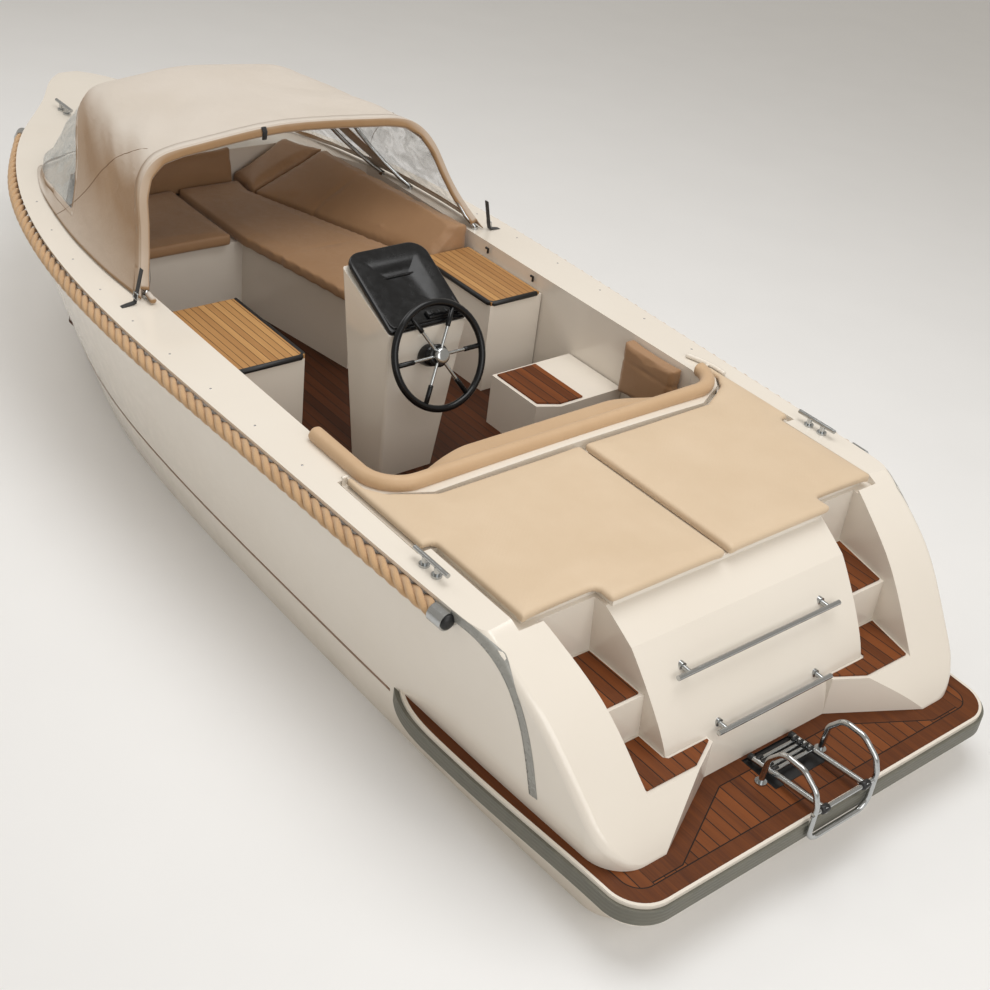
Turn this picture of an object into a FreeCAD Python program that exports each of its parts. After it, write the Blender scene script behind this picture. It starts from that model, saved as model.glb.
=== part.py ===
import FreeCAD
import Part
import math
import os

V = FreeCAD.Vector

# Open family speedboat with a swim platform, stern steps, sunpads and a folding spray hood.
# X points to the bow, Y to port, Z up. Z is zero on the waterline. All sizes are millimetres.

# Hull
transom_x = -2900.0
hull_length = 5930.0
half_beam = 1100.0
hull_draft = 360.0
chine_rise = 500.0
sheer_height = 870.0
deck_camber = 22.0
# along the hull, sheer beam, chine beam, chine height, keel depth, sheer height
station_shares = [
    (0.000, 0.895, 0.790, -0.04, 0.60, 0.995),
    (0.150, 0.945, 0.825, -0.06, 0.74, 0.995),
    (0.320, 0.975, 0.830, -0.10, 0.91, 0.997),
    (0.490, 1.000, 0.810, -0.10, 1.00, 1.000),
    (0.605, 0.980, 0.755, -0.06, 1.00, 1.006),
    (0.705, 0.900, 0.640, 0.06, 0.92, 1.014),
    (0.805, 0.730, 0.440, 0.28, 0.68, 1.026),
    (0.890, 0.475, 0.225, 0.58, 0.10, 1.036),
    (0.950, 0.245, 0.095, 0.95, -0.65, 1.044),
    (0.985, 0.130, 0.042, 1.32, -1.55, 1.050),
    (1.000, 0.050, 0.015, 1.55, -2.00, 1.052),
]
station_place_shares = [i / 16 for i in range(16)] + [0.965, 0.985, 1.0]
topside_mid_share = 0.56

# Stern quarters, steps and engine casing
quarter_start_x = -2190.0
quarter_end_x = -2900.0
quarter_curve_shares = [
    (0.000, 1.000), (0.099, 0.964), (0.279, 0.853), (0.496, 0.685), (0.676, 0.472), (0.828, 0.260),
    (0.937, 0.107), (1.000, 0.000),
]
quarter_top_z = 888.0
quarter_corner_r = 150.0
quarter_edge_r = 30.0
platform_top_z = 250.0
casing_foot_x = -2710.0
casing_foot_half = 315.0
casing_low_half = 498.0
casing_top_half = 550.0
casing_top_x = -2330.0
casing_top_z = 865.0
casing_curve_shares = [
    (0.000, 1.000), (0.140, 0.935), (0.316, 0.829), (0.553, 0.650), (0.763, 0.463), (0.895, 0.309),
    (0.965, 0.160), (1.000, 0.000),
]
transom_inner_half = 680.0
step_low_z = 417.0
step_high_z = 600.0
step_high_aft_x = -2545.0
step_front_x = -2265.0
step_low_aft_x = -2840.0
step_outer_front_y = 805.0
step_outer_aft_y = 672.0
tread_margin = 14.0
tread_thick = 8.0

# Cockpit
cockpit_front_x = 1640.0
cockpit_aft_x = -1430.0
cockpit_half = 860.0
cockpit_corner_r = 130.0
cockpit_front_half = 620.0
cockpit_shoulder_x = 1200.0
cockpit_floor_z = 335.0
sole_thick = 10.0

# Sunpads and their lid
pad_deck_z = 835.0
lid_thick = 20.0
pad_thick = 42.0
pad_front_x = -1320.0
pad_front_mid_x = -1545.0
pad_front_turn_x = -1548.0
pad_front_turn_y = 690.0
pad_front_side_x = -1463.0
pad_front_side_y = 863.0
pad_front_edge_x = -1400.0
pad_front_edge_y = 914.0
pad_half = 945.0
pad_aft_half = 890.0
pad_notch_x = -1795.0
pad_aft_x = -2280.0
pad_tail_x = -2365.0
pad_tail_half = 560.0
pad_seam_gap = 5.0
pad_clear = 12.0
lid_inset = 30.0
lid_corner_x = -1515.0
lid_corner_y = 800.0
lid_gap = 0.3
lid_hinge_x = -1313.0
lid_hinge_z = 886.0
lid_hinge_r = 6.0
lid_hinge_y = 930.0
lid_hinge_length = 22.0
lid_hinge_leaf = 3.0

# Engine bay
bay_front_x = -1680.0
bay_aft_x = -2240.0
bay_half = 500.0
bay_floor_z = 20.0

# Swim platform
platform_aft_x = -3045.0
platform_half = 950.0
platform_wing_x = -1765.0
# along the wing from its tip to the stern corner, half width
platform_side_shares = [(0.00, 1.000), (0.05, 1.032), (0.25, 1.058), (0.50, 1.040), (0.75, 1.012),
                        (0.885, 1.000)]
platform_thick = 95.0
platform_corner_r = 145.0
platform_rim = 11.0
platform_teak_thick = 8.0
band_thick = 12.0
band_height = 62.0
band_drop = 16.0
recess_front_x = -2722.0
recess_aft_x = -2890.0
recess_depth = 30.0
ladder_y = 0.0
ladder_half = 108.0
recess_clear = 30.0

# Folding ladder and its hoops
ladder_tube_r = 12.0
ladder_axis_x = -3072.0
ladder_axis_z = 300.0
ladder_tip_x = -2738.0
ladder_tip_z = 264.0
ladder_rung_r = 8.0
ladder_rung_count = 4
ladder_rung_first = 26.0
ladder_rung_pitch = 24.0
ladder_gap = 0.4
ladder_pin_r = 8.0
hoop_tube_r = 11.0
hoop_half = 158.0
hoop_front_x = -2835.0
hoop_knee_x = -2843.0
hoop_knee_z = 365.0
hoop_top_front_x = -2895.0
hoop_top_aft_x = -2985.0
hoop_top_z = 432.0
hoop_shoulder_x = -3052.0
hoop_shoulder_z = 385.0
hoop_drop_z = 335.0
hoop_low_z = 170.0
hoop_bend_r = 55.0
hoop_foot_r = 22.0
hoop_foot_thick = 6.0

# Grab rails on the casing
rail_tube_r = 10.0
rail_standoff = 42.0
rail_high_z = 650.0
rail_high_half = 415.0
rail_low_z = 445.0
rail_low_half = 294.0
rail_foot_share = 0.86
rail_foot_r = 16.0
rail_foot_thick = 6.0

# Rope fender and end caps
rope_r = 31.0
rope_out = 15.0
rope_drop = 44.0
rope_start_share = 0.145
rope_end_share = 0.872
cap_r = 35.0
cap_length = 70.0
rope_path_count = 9

# Cleats
cleat_length = 190.0
cleat_r = 9.0
cleat_height = 38.0
cleat_foot_gap = 70.0
cleat_foot_r = 11.0
stern_cleat_x = -1905.0
stern_cleat_y = 975.0
bow_cleat_x = 2440.0
bow_cleat_y = 290.0
cleat_base_r = 20.0
cleat_base_thick = 4.0

# Bolster roll
bolster_r = 34.0
bolster_z = 893.0
bolster_side_y = 868.0
bolster_end_x = -1010.0
bolster_aft_x = -1468.0
bolster_bend_r = 150.0
bolster_stbd_end_x = -1330.0
bolster_gap = 0.3
lean_pad_front_x = -1285.0
lean_pad_low_z = 640.0
lean_pad_high_z = 868.0
lean_pad_half = 700.0

# Seats and lockers
seat_top_z = 775.0
seat_cushion_thick = 65.0
bench_aft_y = -35.0
bench_corner_y = 95.0
bench_aft_x = 145.0
bench_outer_aft_x = 262.0
bench_corner_x = 915.0
bench_front_x = 1560.0
seat_back_aft_y = -635.0
seat_back_front_y = -275.0
back_aft_x = 262.0
back_front_x = 1400.0
back_top_z = 935.0
back_top_aft_y = -765.0
back_top_front_y = -660.0
back_top_width = 70.0
back_heel_aft_y = -850.0
back_heel_front_y = -742.0
back_front_thick = 80.0
back_side_gap = 8.0
base_recess = 55.0
base_seat_drop = 65.0
cushion_gap = 4.0
locker_top_z = 795.0
locker_lid_thick = 18.0
port_locker_aft_x = -345.0
port_locker_front_x = 240.0
port_locker_inner_y = 490.0
stbd_locker_aft_x = -300.0
stbd_locker_front_x = 250.0
stbd_locker_inner_y = 545.0
locker_wall = 22.0
locker_floor = 20.0
locker_gap = 6.0
locker_side_clear = 24.0
helm_step_aft_x = -915.0
helm_step_front_x = -545.0
helm_step_inner_y = 390.0
helm_step_top_z = 592.0
helm_tread_inset = 17.0
helm_tread_outer_y = 632.0
helm_tread_cut = 85.0
back_pad_front_x = -930.0
back_pad_aft_x = -1270.0
back_pad_low_z = 600.0
back_pad_high_z = 865.0
back_pad_thick = 60.0

# Console
console_foot_x = (-714.0, -491.0)
console_foot_y = (49.0, 325.0)
console_top_x = (-760.0, -400.0)
console_top_y = (-25.0, 365.0)
console_aft_z = 1060.0
console_front_z = 1215.0
console_edge_r = 14.0
dash_thick = 20.0
dash_margin = 5.0
dash_gap = 0.3
dash_brow_length = 95.0
dash_brow_rise = 26.0
dash_brow_over = 26.0
wheel_r = 232.0
wheel_rim_r = 15.0
wheel_y = 165.0
wheel_z = 968.0
wheel_hub_x = -838.0
wheel_tilt_deg = 24.0
wheel_hub_r = 34.0
wheel_hub_length = 44.0
wheel_spoke_r = 7.0
wheel_spoke_count = 6
shaft_r = 16.0
shaft_gap = 1.0
throttle_x = -560.0
throttle_z = 985.0
throttle_base_r = 34.0
throttle_base_thick = 26.0
throttle_lever_r = 8.0
throttle_lever_length = 130.0

# Spray hood
hood_base_z = 872.0
hood_thick = 7.0
hood_lift = 9.0
hood_arch_count = 6
hood_tolerance = 0.01
hood_aft_x = 270.0
hood_length = 1810.0
hood_half = 940.0
hood_height = 533.0
# foot along, foot out, shoulder along, shoulder out, shoulder up, crown along, crown up
hood_row_shares = [
    (0.000, 0.990, 0.178, 0.812, 0.860, 0.222, 1.000),
    (0.150, 1.003, 0.355, 0.755, 0.870, 0.400, 1.000),
    (0.300, 0.995, 0.560, 0.680, 0.865, 0.605, 0.982),
    (0.420, 0.975, 0.725, 0.605, 0.848, 0.775, 0.930),
    (0.590, 0.925, 0.785, 0.680, 0.500, 0.878, 0.590),
    (0.720, 0.862, 0.822, 0.752, 0.190, 0.950, 0.240),
    (0.800, 0.805, 0.838, 0.770, 0.020, 1.000, 0.030),
]
# from foot to shoulder and from shoulder to crown: along, out, up
hood_side_shares = [(0.00, 0.00), (0.30, 0.25), (0.62, 0.56), (0.88, 0.86)]
hood_top_shares = [(0.09, 0.30), (0.30, 0.76), (0.64, 0.95), (1.00, 1.00)]
hood_tube_r = 11.0
hood_tube_gap = 9.0
hood_tube_bend = 90.0
hood_tube_knots = 25
hood_bow_rows = (0, 2, 3)
hood_foot_r = 15.0
hood_foot_high = 16.0
hood_foot_start = 13.0
hood_foot_gap = 0.5
# windows in the side view: along the hood, up the hood
front_window_shares = [(0.475, 0.150), (0.755, 0.800), (3.0, 0.800), (3.0, 0.10), (0.880, 0.085)]
side_window_shares = [(0.065, 0.10), (0.215, 0.77), (0.665, 0.76), (0.385, 0.13)]
hood_window_middle = 30.0
hood_window_post = 270.0
strap_x = 262.0
strap_width = 26.0
strap_thick = 3.0
# out from the centre, up from the hood foot
strap_shares = [(0.985, 0.30), (1.022, 0.02), (1.060, 0.010), (1.118, -0.012)]

# Underwater gear
shaft_start_x = -1500.0
shaft_start_z = -232.0
shaft_end_x = -2400.0
shaft_end_z = -432.0
shaft_tube_r = 24.0
prop_gap = 6.0
strut_width = 60.0
strut_thick = 18.0
strut_back = 40.0
prop_hub_r = 34.0
prop_hub_length = 90.0
prop_r = 150.0
prop_blade_count = 3
prop_blade_thick = 8.0
prop_blade_width = 120.0
prop_pitch_deg = 26.0
prop_nose_r = 15.0
skeg_front_x = 600.0
skeg_aft_x = -1450.0
skeg_low_z = -470.0
skeg_thick = 46.0
skeg_slope = 500.0
rudder_x = -2640.0
rudder_length = 240.0
rudder_top_z = -262.0
rudder_low_z = -570.0
rudder_thick = 28.0
rudder_stock_r = 16.0
rudder_gap = 0.4
rudder_stock_high_z = -130.0
rudder_balance_share = 0.25
bow_eye_z = 420.0
bow_eye_r = 8.0
bow_eye_ring_r = 26.0
bow_eye_share = 0.967

# Engine
engine_length = 420.0
engine_width = 440.0
engine_height = 430.0
engine_x = -1960.0


def box(x0, x1, y0, y1, z0, z1):
    shape = Part.makeBox(abs(x1 - x0), abs(y1 - y0), abs(z1 - z0))
    shape.translate(V(min(x0, x1), min(y0, y1), min(z0, z1)))
    return shape


def plan(points, z0, z1):
    """Upright prism on a plan outline."""
    wire = Part.makePolygon([V(x, y, z0) for x, y in points + points[:1]])
    return Part.Face(wire).extrude(V(0, 0, z1 - z0))


def side(points, y0, y1):
    """Prism across the boat on a side outline."""
    wire = Part.makePolygon([V(x, y0, z) for x, z in points + points[:1]])
    return Part.Face(wire).extrude(V(0, y1 - y0, 0))


def cross(points, x0, x1):
    """Prism along the boat on a cross outline."""
    wire = Part.makePolygon([V(x0, y, z) for y, z in points + points[:1]])
    return Part.Face(wire).extrude(V(x1 - x0, 0, 0))


def both(shape):
    """A shape and its mirror image on the other side."""
    other = shape.mirror(V(0, 0, 0), V(0, 1, 0))
    return Part.makeCompound([shape, other])


def rod(start, end, radius):
    run = end.sub(start)
    return Part.makeCylinder(radius, run.Length, start, run)


def bent_tube(points, radius, bend):
    """Round tube through points with rounded bends."""
    edges = []
    last = points[0]
    for before, corner, after in zip(points, points[1:], points[2:]):
        back = before.sub(corner)
        ahead = after.sub(corner)
        back.normalize()
        ahead.normalize()
        half = back.getAngle(ahead) / 2
        reach = bend / math.tan(half)
        first = corner.add(back * reach)
        second = corner.add(ahead * reach)
        middle = back.add(ahead)
        middle.normalize()
        top = corner.add(middle * (bend / math.sin(half) - bend))
        edges.append(Part.makeLine(last, first))
        edges.append(Part.Arc(first, top, second).toShape())
        last = second
    edges.append(Part.makeLine(last, points[-1]))
    path = Part.Wire(edges)
    along = points[1].sub(points[0])
    ring = Part.Wire(Part.makeCircle(radius, points[0], along))
    return path.makePipeShell([ring], True, False)


def smooth_tube(points, radius):
    """Round tube along a smooth curve."""
    curve = Part.BSplineCurve()
    curve.interpolate(points)
    edge = curve.toShape()
    ring = Part.Wire(Part.makeCircle(radius, points[0], curve.tangent(curve.FirstParameter)[0]))
    return Part.Wire(edge).makePipeShell([ring], True, False)


def between(shares, column, along):
    """Value of one column of a share table at a place along it."""
    for low, high in zip(shares, shares[1:]):
        if low[0] <= along <= high[0]:
            part = (along - low[0]) / (high[0] - low[0])
            return low[column] + (high[column] - low[column]) * part
    return shares[-1][column]


def smooth_value(shares, column, along):
    """Value of one column of a share table, read from a smooth curve through it."""
    curve = Part.BSplineCurve()
    places = [row[0] for row in shares]
    curve.interpolate(Points=[V(row[0], row[column], 0) for row in shares], Parameters=places)
    return curve.value(along).y


def smooth_row(shares, along):
    return [along] + [smooth_value(shares, k, along) for k in range(1, len(shares[0]))]


def hull_section(row):
    along, beam, chine, rise, keel, sheer = row
    x = transom_x + along * hull_length
    ys = beam * half_beam
    yc = chine * half_beam
    zc = rise * chine_rise
    zk = -keel * hull_draft
    zs = sheer * sheer_height
    ym = yc + (ys - yc) * topside_mid_share
    zm = (zc + zs) / 2
    camber = zs + deck_camber * beam

    def flank(sign):
        curve = Part.BSplineCurve()
        curve.interpolate([V(x, sign * yc, zc), V(x, sign * ym, zm), V(x, sign * ys, zs)])
        return curve.toShape()

    deck = Part.BSplineCurve()
    deck.interpolate([V(x, ys, zs), V(x, 0, camber), V(x, -ys, zs)])
    return Part.Wire([
        Part.makeLine(V(x, 0, zk), V(x, yc, zc)),
        flank(1),
        deck.toShape(),
        flank(-1),
        Part.makeLine(V(x, -yc, zc), V(x, 0, zk)),
    ])


def gunwale_point(along, out, drop):
    """Point beside the sheer line of the port side."""
    x = transom_x + along * hull_length
    y = smooth_value(station_shares, 1, along) * half_beam
    z = smooth_value(station_shares, 5, along) * sheer_height
    step = 1.0 / rope_path_count / rope_path_count
    y_next = smooth_value(station_shares, 1, along + step) * half_beam
    normal = V(y - y_next, step * hull_length, 0)
    normal.normalize()
    return V(x, y, z - drop).add(normal * out)


def rope_path():
    span = rope_end_share - rope_start_share
    return [gunwale_point(rope_start_share + span * i / (rope_path_count - 1), rope_out, rope_drop)
            for i in range(rope_path_count)]


def curve_points(x0, x1, z0, z1, shares):
    return [(x0 + (x1 - x0) * a, z0 + (z1 - z0) * h) for a, h in shares]


def smooth_side(points, closing, y0, y1):
    """Prism across the boat with one smooth side."""
    curve = Part.BSplineCurve()
    curve.interpolate([V(x, y0, z) for x, z in points])
    rest = [points[-1]] + closing + [points[0]]
    lines = [Part.makeLine(V(a[0], y0, a[1]), V(b[0], y0, b[1])) for a, b in zip(rest, rest[1:])]
    return Part.Face(Part.Wire([curve.toShape()] + lines)).extrude(V(0, y1 - y0, 0))


def casing_half_at(z):
    part = (z - platform_top_z) / (casing_top_z - platform_top_z)
    return casing_low_half + (casing_top_half - casing_low_half) * part


far = hull_length
high = hull_length / 2
platform_low = platform_top_z - platform_teak_thick
sole_top_z = cockpit_floor_z + sole_thick


def pad_outline(grow):
    """Outline of the port half of the sunpads, grown all round by a given margin."""
    return [
        (pad_front_mid_x + grow, 0),
        (pad_front_turn_x + grow, pad_front_turn_y),
        (pad_front_side_x + grow, pad_front_side_y),
        (pad_front_edge_x + grow, pad_front_edge_y),
        (pad_front_x + grow, pad_front_edge_y),
        (pad_front_x + grow, pad_half + grow),
        (pad_notch_x - grow, pad_half + grow),
        (pad_notch_x - grow, pad_aft_half + grow),
        (pad_aft_x - grow, pad_aft_half + grow),
        (pad_aft_x - grow, pad_tail_half + grow),
        (pad_tail_x - grow, pad_tail_half + grow),
        (pad_tail_x - grow, 0),
    ]


def both_sides(points):
    """Port outline closed with its mirror image into one outline."""
    mirror = [(x, -y) for x, y in reversed(points)]
    return [p for p in points] + [q for q in mirror if q[1] != 0]


def cockpit_outline(inset):
    half = cockpit_half - inset
    return [
        (cockpit_aft_x + inset, 0),
        (cockpit_aft_x + inset, half - cockpit_corner_r),
        (cockpit_aft_x + inset + cockpit_corner_r * 0.3, half - cockpit_corner_r * 0.3),
        (cockpit_aft_x + inset + cockpit_corner_r, half),
        (cockpit_shoulder_x, half),
        (cockpit_front_x - inset, cockpit_front_half - inset),
        (cockpit_front_x - inset, 0),
    ]


def make_hull():
    body = Part.makeLoft([hull_section(smooth_row(station_shares, place)) for place in station_place_shares],
                         True, False)
    corners = [edge for edge in body.Edges
               if edge.BoundBox.XMax < transom_x + lid_gap and edge.BoundBox.ZLength > sheer_height / 2]
    body = body.makeFillet(quarter_corner_r, corners)
    quarter = curve_points(quarter_start_x, quarter_end_x, platform_top_z, quarter_top_z,
                           quarter_curve_shares)
    body = body.cut(smooth_side(quarter, [(quarter_end_x - far, platform_top_z), (quarter_end_x - far, high),
                                          (quarter_start_x, high)], -far, far))
    rims = [edge for edge in body.Edges
            if edge.BoundBox.XMax < quarter_start_x and edge.BoundBox.ZMin > platform_top_z - lid_gap
            and edge.BoundBox.ZLength > quarter_edge_r * 2]
    body = body.makeFillet(quarter_edge_r, rims)
    # the transom between the quarters, with slanted faces
    body = body.cut(plan([
        (casing_foot_x, -casing_foot_half), (casing_foot_x, casing_foot_half),
        (transom_x, transom_inner_half), (transom_x - far, transom_inner_half),
        (transom_x - far, -transom_inner_half), (transom_x, -transom_inner_half)],
        platform_low, high))
    casing = curve_points(casing_top_x, casing_foot_x, platform_top_z, casing_top_z, casing_curve_shares)
    casing_space = [(casing_foot_x - far, platform_top_z), (casing_foot_x - far, high), (casing_top_x, high)]
    body = body.cut(smooth_side(casing, casing_space, -casing_foot_half, casing_foot_half))
    for sign in (1, -1):
        for z, x in ((step_low_z, step_high_aft_x), (step_high_z, step_front_x)):
            well = cross([
                (sign * casing_half_at(z), z), (sign * casing_top_half, casing_top_z),
                (sign * casing_top_half, high), (sign * half_beam, high), (sign * half_beam, z)],
                x, transom_x - far)
            limit = plan([
                (step_front_x, 0), (step_front_x, sign * step_outer_front_y),
                (step_low_aft_x, sign * step_outer_aft_y), (transom_x - far, sign * step_outer_aft_y),
                (transom_x - far, 0)], z, high)
            body = body.cut(well.common(limit))
    body = body.cut(smooth_side(casing, casing_space, -casing_top_half, casing_top_half).cut(
        plan([(casing_foot_x, casing_foot_half), (transom_x, transom_inner_half), (transom_x, far),
              (step_front_x, far), (step_front_x, casing_foot_half)], 0, step_low_z)).cut(
        plan([(casing_foot_x, -casing_foot_half), (transom_x, -transom_inner_half), (transom_x, -far),
              (step_front_x, -far), (step_front_x, -casing_foot_half)], 0, step_low_z)))
    body = body.cut(plan(both_sides(pad_outline(pad_clear)), pad_deck_z, high))
    body = body.cut(plan(both_sides(cockpit_outline(0)), cockpit_floor_z, high))
    body = body.cut(box(bay_aft_x, bay_front_x, -bay_half, bay_half, bay_floor_z, high))
    body = body.cut(both(smooth_tube(rope_path(), rope_r)))
    body = body.cut(rod(V(rudder_x, 0, rudder_top_z - rudder_stock_r * 2),
                        V(rudder_x, 0, rudder_stock_high_z + rudder_stock_r), rudder_stock_r + rudder_gap))
    return body


def platform_slab(grow, z0, z1):
    """Platform with rounded stern corners, its outline grown by a margin."""
    reach = platform_aft_x - platform_wing_x - grow
    rows = [V(platform_wing_x + grow + reach * a, platform_half * w + grow, z0)
            for a, w in platform_side_shares]
    middle = V(platform_aft_x + platform_corner_r, platform_half - platform_corner_r, z0)
    radius = platform_corner_r + grow
    rows[-1] = middle.add(V(0, radius, 0))
    last = middle.add(V(-radius, 0, 0))
    curve = Part.BSplineCurve()
    curve.interpolate(rows)
    half_turn = middle.add(V(-radius * math.sqrt(0.5), radius * math.sqrt(0.5), 0))
    port = [curve.toShape(), Part.Arc(rows[-1], half_turn, last).toShape()]
    stbd = [edge.mirror(V(0, 0, 0), V(0, 1, 0)) for edge in port]
    ends = [Part.makeLine(last, V(last.x, -last.y, z0)), Part.makeLine(V(rows[0].x, -rows[0].y, z0), rows[0])]
    wire = Part.Wire(Part.__sortEdges__(port + stbd + ends))
    return Part.Face(wire).extrude(V(0, 0, z1 - z0))


def recess_box(z0, z1):
    return box(recess_aft_x, recess_front_x, ladder_y - ladder_half - recess_clear,
               ladder_y + ladder_half + recess_clear, z0, z1)


os.makedirs("parts", exist_ok=True)


def save(name, shape):
    shape.exportStep("parts/" + name + ".step")


hull = make_hull()
rope = smooth_tube(rope_path(), rope_r)


def clear_of_hull(shape):
    outside = shape.cut(hull).cut(box(bay_aft_x, bay_front_x, -bay_half, bay_half, bay_floor_z, high))
    return max(outside.Solids, key=lambda piece: piece.Volume)


platform = platform_slab(0, platform_top_z - platform_thick, platform_low).fuse(
    platform_slab(0, platform_low, platform_top_z).cut(
        platform_slab(-platform_rim, platform_low, platform_top_z)))
platform = clear_of_hull(platform.cut(recess_box(platform_low - recess_depth, high))).removeSplitter()
teak = clear_of_hull(platform_slab(-platform_rim, platform_low, platform_top_z).cut(recess_box(0, high)))
band_high = platform_top_z - band_drop
band = clear_of_hull(platform_slab(band_thick, band_high - band_height, band_high).cut(
    platform_slab(0, 0, high)))


def outline_slab(wire, thick):
    points = [corner.Point for corner in wire.OrderedVertexes]
    return Part.Face(Part.makePolygon(points + points[:1])).extrude(V(0, 0, thick))


def step_tread(z):
    """Teak panels let onto the steps of one height, set in from their edges."""
    level = [outline_slab(face.OuterWire, tread_thick) for face in hull.Faces
             if face.BoundBox.ZLength < lid_gap and abs(face.BoundBox.ZMax - z) < lid_gap
             and face.BoundBox.XMax < casing_top_x * 0.95]
    joined = level[0].multiFuse(level[1:]).removeSplitter()
    panels = []
    for face in joined.Faces:
        if face.BoundBox.ZMax < z + lid_gap:
            panels += [outline_slab(wire, tread_thick) for wire in face.makeOffset2D(-tread_margin).Wires]
    return Part.makeCompound(panels)


step_teak_low = step_tread(step_low_z)
step_teak_high = step_tread(step_high_z)


def grab_rail(z, half):
    """Straight rail with two feet on the curved casing."""
    bar_x = casing_surface_x(z) - rail_standoff
    pieces = rod(V(bar_x, -half, z), V(bar_x, half, z), rail_tube_r)
    for sign in (1, -1):
        y = sign * half * rail_foot_share
        foot = V(casing_surface_x(z), y, z)
        pieces = pieces.fuse(rod(V(bar_x, y, z), foot.add(V(rail_standoff, 0, 0)), rail_tube_r))
        pieces = pieces.fuse(rod(foot.add(V(-rail_foot_thick, 0, 0)), foot.add(V(rail_standoff, 0, 0)),
                                 rail_foot_r))
    return pieces.cut(hull)


def casing_surface_x(z):
    """Place of the curved casing face at a height."""
    rise = (z - platform_top_z) / (casing_top_z - platform_top_z)
    flipped = [(h, a) for a, h in reversed(casing_curve_shares)]
    return casing_top_x + (casing_foot_x - casing_top_x) * between(flipped, 1, rise)


rails = Part.makeCompound([grab_rail(rail_high_z, rail_high_half), grab_rail(rail_low_z, rail_low_half)])

# folding ladder
left = ladder_y + ladder_half
right = ladder_y - ladder_half
pivot = V(ladder_axis_x, ladder_y, ladder_axis_z)
tip = V(ladder_tip_x, ladder_y, ladder_tip_z)
hoop_y = V(0, hoop_half, 0)
pin_end = V(0, hoop_half + ladder_pin_r, 0)
ladder = rod(pivot.sub(pin_end), pivot.add(pin_end), ladder_pin_r)
stub = tip.sub(pivot)
stub.normalize()
for y in (left, right):
    rail_start = V(pivot.x, y, pivot.z).sub(stub * ladder_tube_r)
    ladder = ladder.fuse(rod(rail_start, V(tip.x, y, tip.z), ladder_tube_r))
for i in range(ladder_rung_count):
    at = tip.sub(stub * (ladder_rung_first + ladder_rung_pitch * i))
    ladder = ladder.fuse(rod(V(at.x, right, at.z), V(at.x, left, at.z), ladder_rung_r))

# two fixed hoops joined by a low bar astern of the platform
hoop_side = [(hoop_front_x, platform_top_z + hoop_foot_thick / 2), (hoop_knee_x, hoop_knee_z),
             (hoop_top_front_x, hoop_top_z), (hoop_top_aft_x, hoop_top_z), (hoop_shoulder_x, hoop_shoulder_z),
             (ladder_axis_x, hoop_drop_z), (ladder_axis_x, hoop_low_z)]
hoop_path = [V(x, hoop_half, z) for x, z in hoop_side]
hoop_path += [V(x, -hoop_half, z) for x, z in reversed(hoop_side)]
hoops = bent_tube(hoop_path, hoop_tube_r, hoop_bend_r)
for y in (hoop_half, -hoop_half):
    foot = V(hoop_front_x, y, platform_top_z)
    hoops = hoops.fuse(rod(foot, foot.add(V(0, 0, hoop_foot_thick)), hoop_foot_r))
hoops = hoops.cut(rod(pivot.sub(hoop_y * 2), pivot.add(hoop_y * 2), ladder_pin_r + ladder_gap))

caps = []
rope_line = Part.BSplineCurve()
rope_line.interpolate(rope_path())
for place, facing in ((rope_line.FirstParameter, -1), (rope_line.LastParameter, 1)):
    run = rope_line.tangent(place)[0] * facing
    point = rope_line.value(place).add(run * lid_gap)
    cap = rod(point, point.add(run * cap_length), cap_r).cut(hull)
    caps.append(max(cap.Solids, key=lambda piece: piece.Volume))
fender_caps = both(Part.makeCompound(caps))
rope_fender = both(rope.cut(hull))


def cleat(x, y, z):
    start = V(x - cleat_length / 2, y, z + cleat_height)
    body = rod(start, start.add(V(cleat_length, 0, 0)), cleat_r)
    for shift in (-cleat_foot_gap / 2, cleat_foot_gap / 2):
        body = body.fuse(rod(V(x + shift, y, z), V(x + shift, y, z + cleat_height), cleat_foot_r))
        body = body.fuse(rod(V(x + shift, y, z - cleat_base_thick), V(x + shift, y, z + cleat_base_thick * 2),
                             cleat_base_r))
    return body


def deck_z(along, y):
    half = smooth_value(station_shares, 1, along) * half_beam
    zs = smooth_value(station_shares, 5, along) * sheer_height
    rise = deck_camber * smooth_value(station_shares, 1, along)
    return zs + rise * (1 - (y / half) ** 2)


def along_at(x):
    return (x - transom_x) / hull_length


cleats = both(Part.makeCompound([
    cleat(stern_cleat_x, stern_cleat_y, deck_z(along_at(stern_cleat_x), stern_cleat_y)),
    cleat(bow_cleat_x, bow_cleat_y, deck_z(along_at(bow_cleat_x), bow_cleat_y)),
]).cut(hull))

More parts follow.
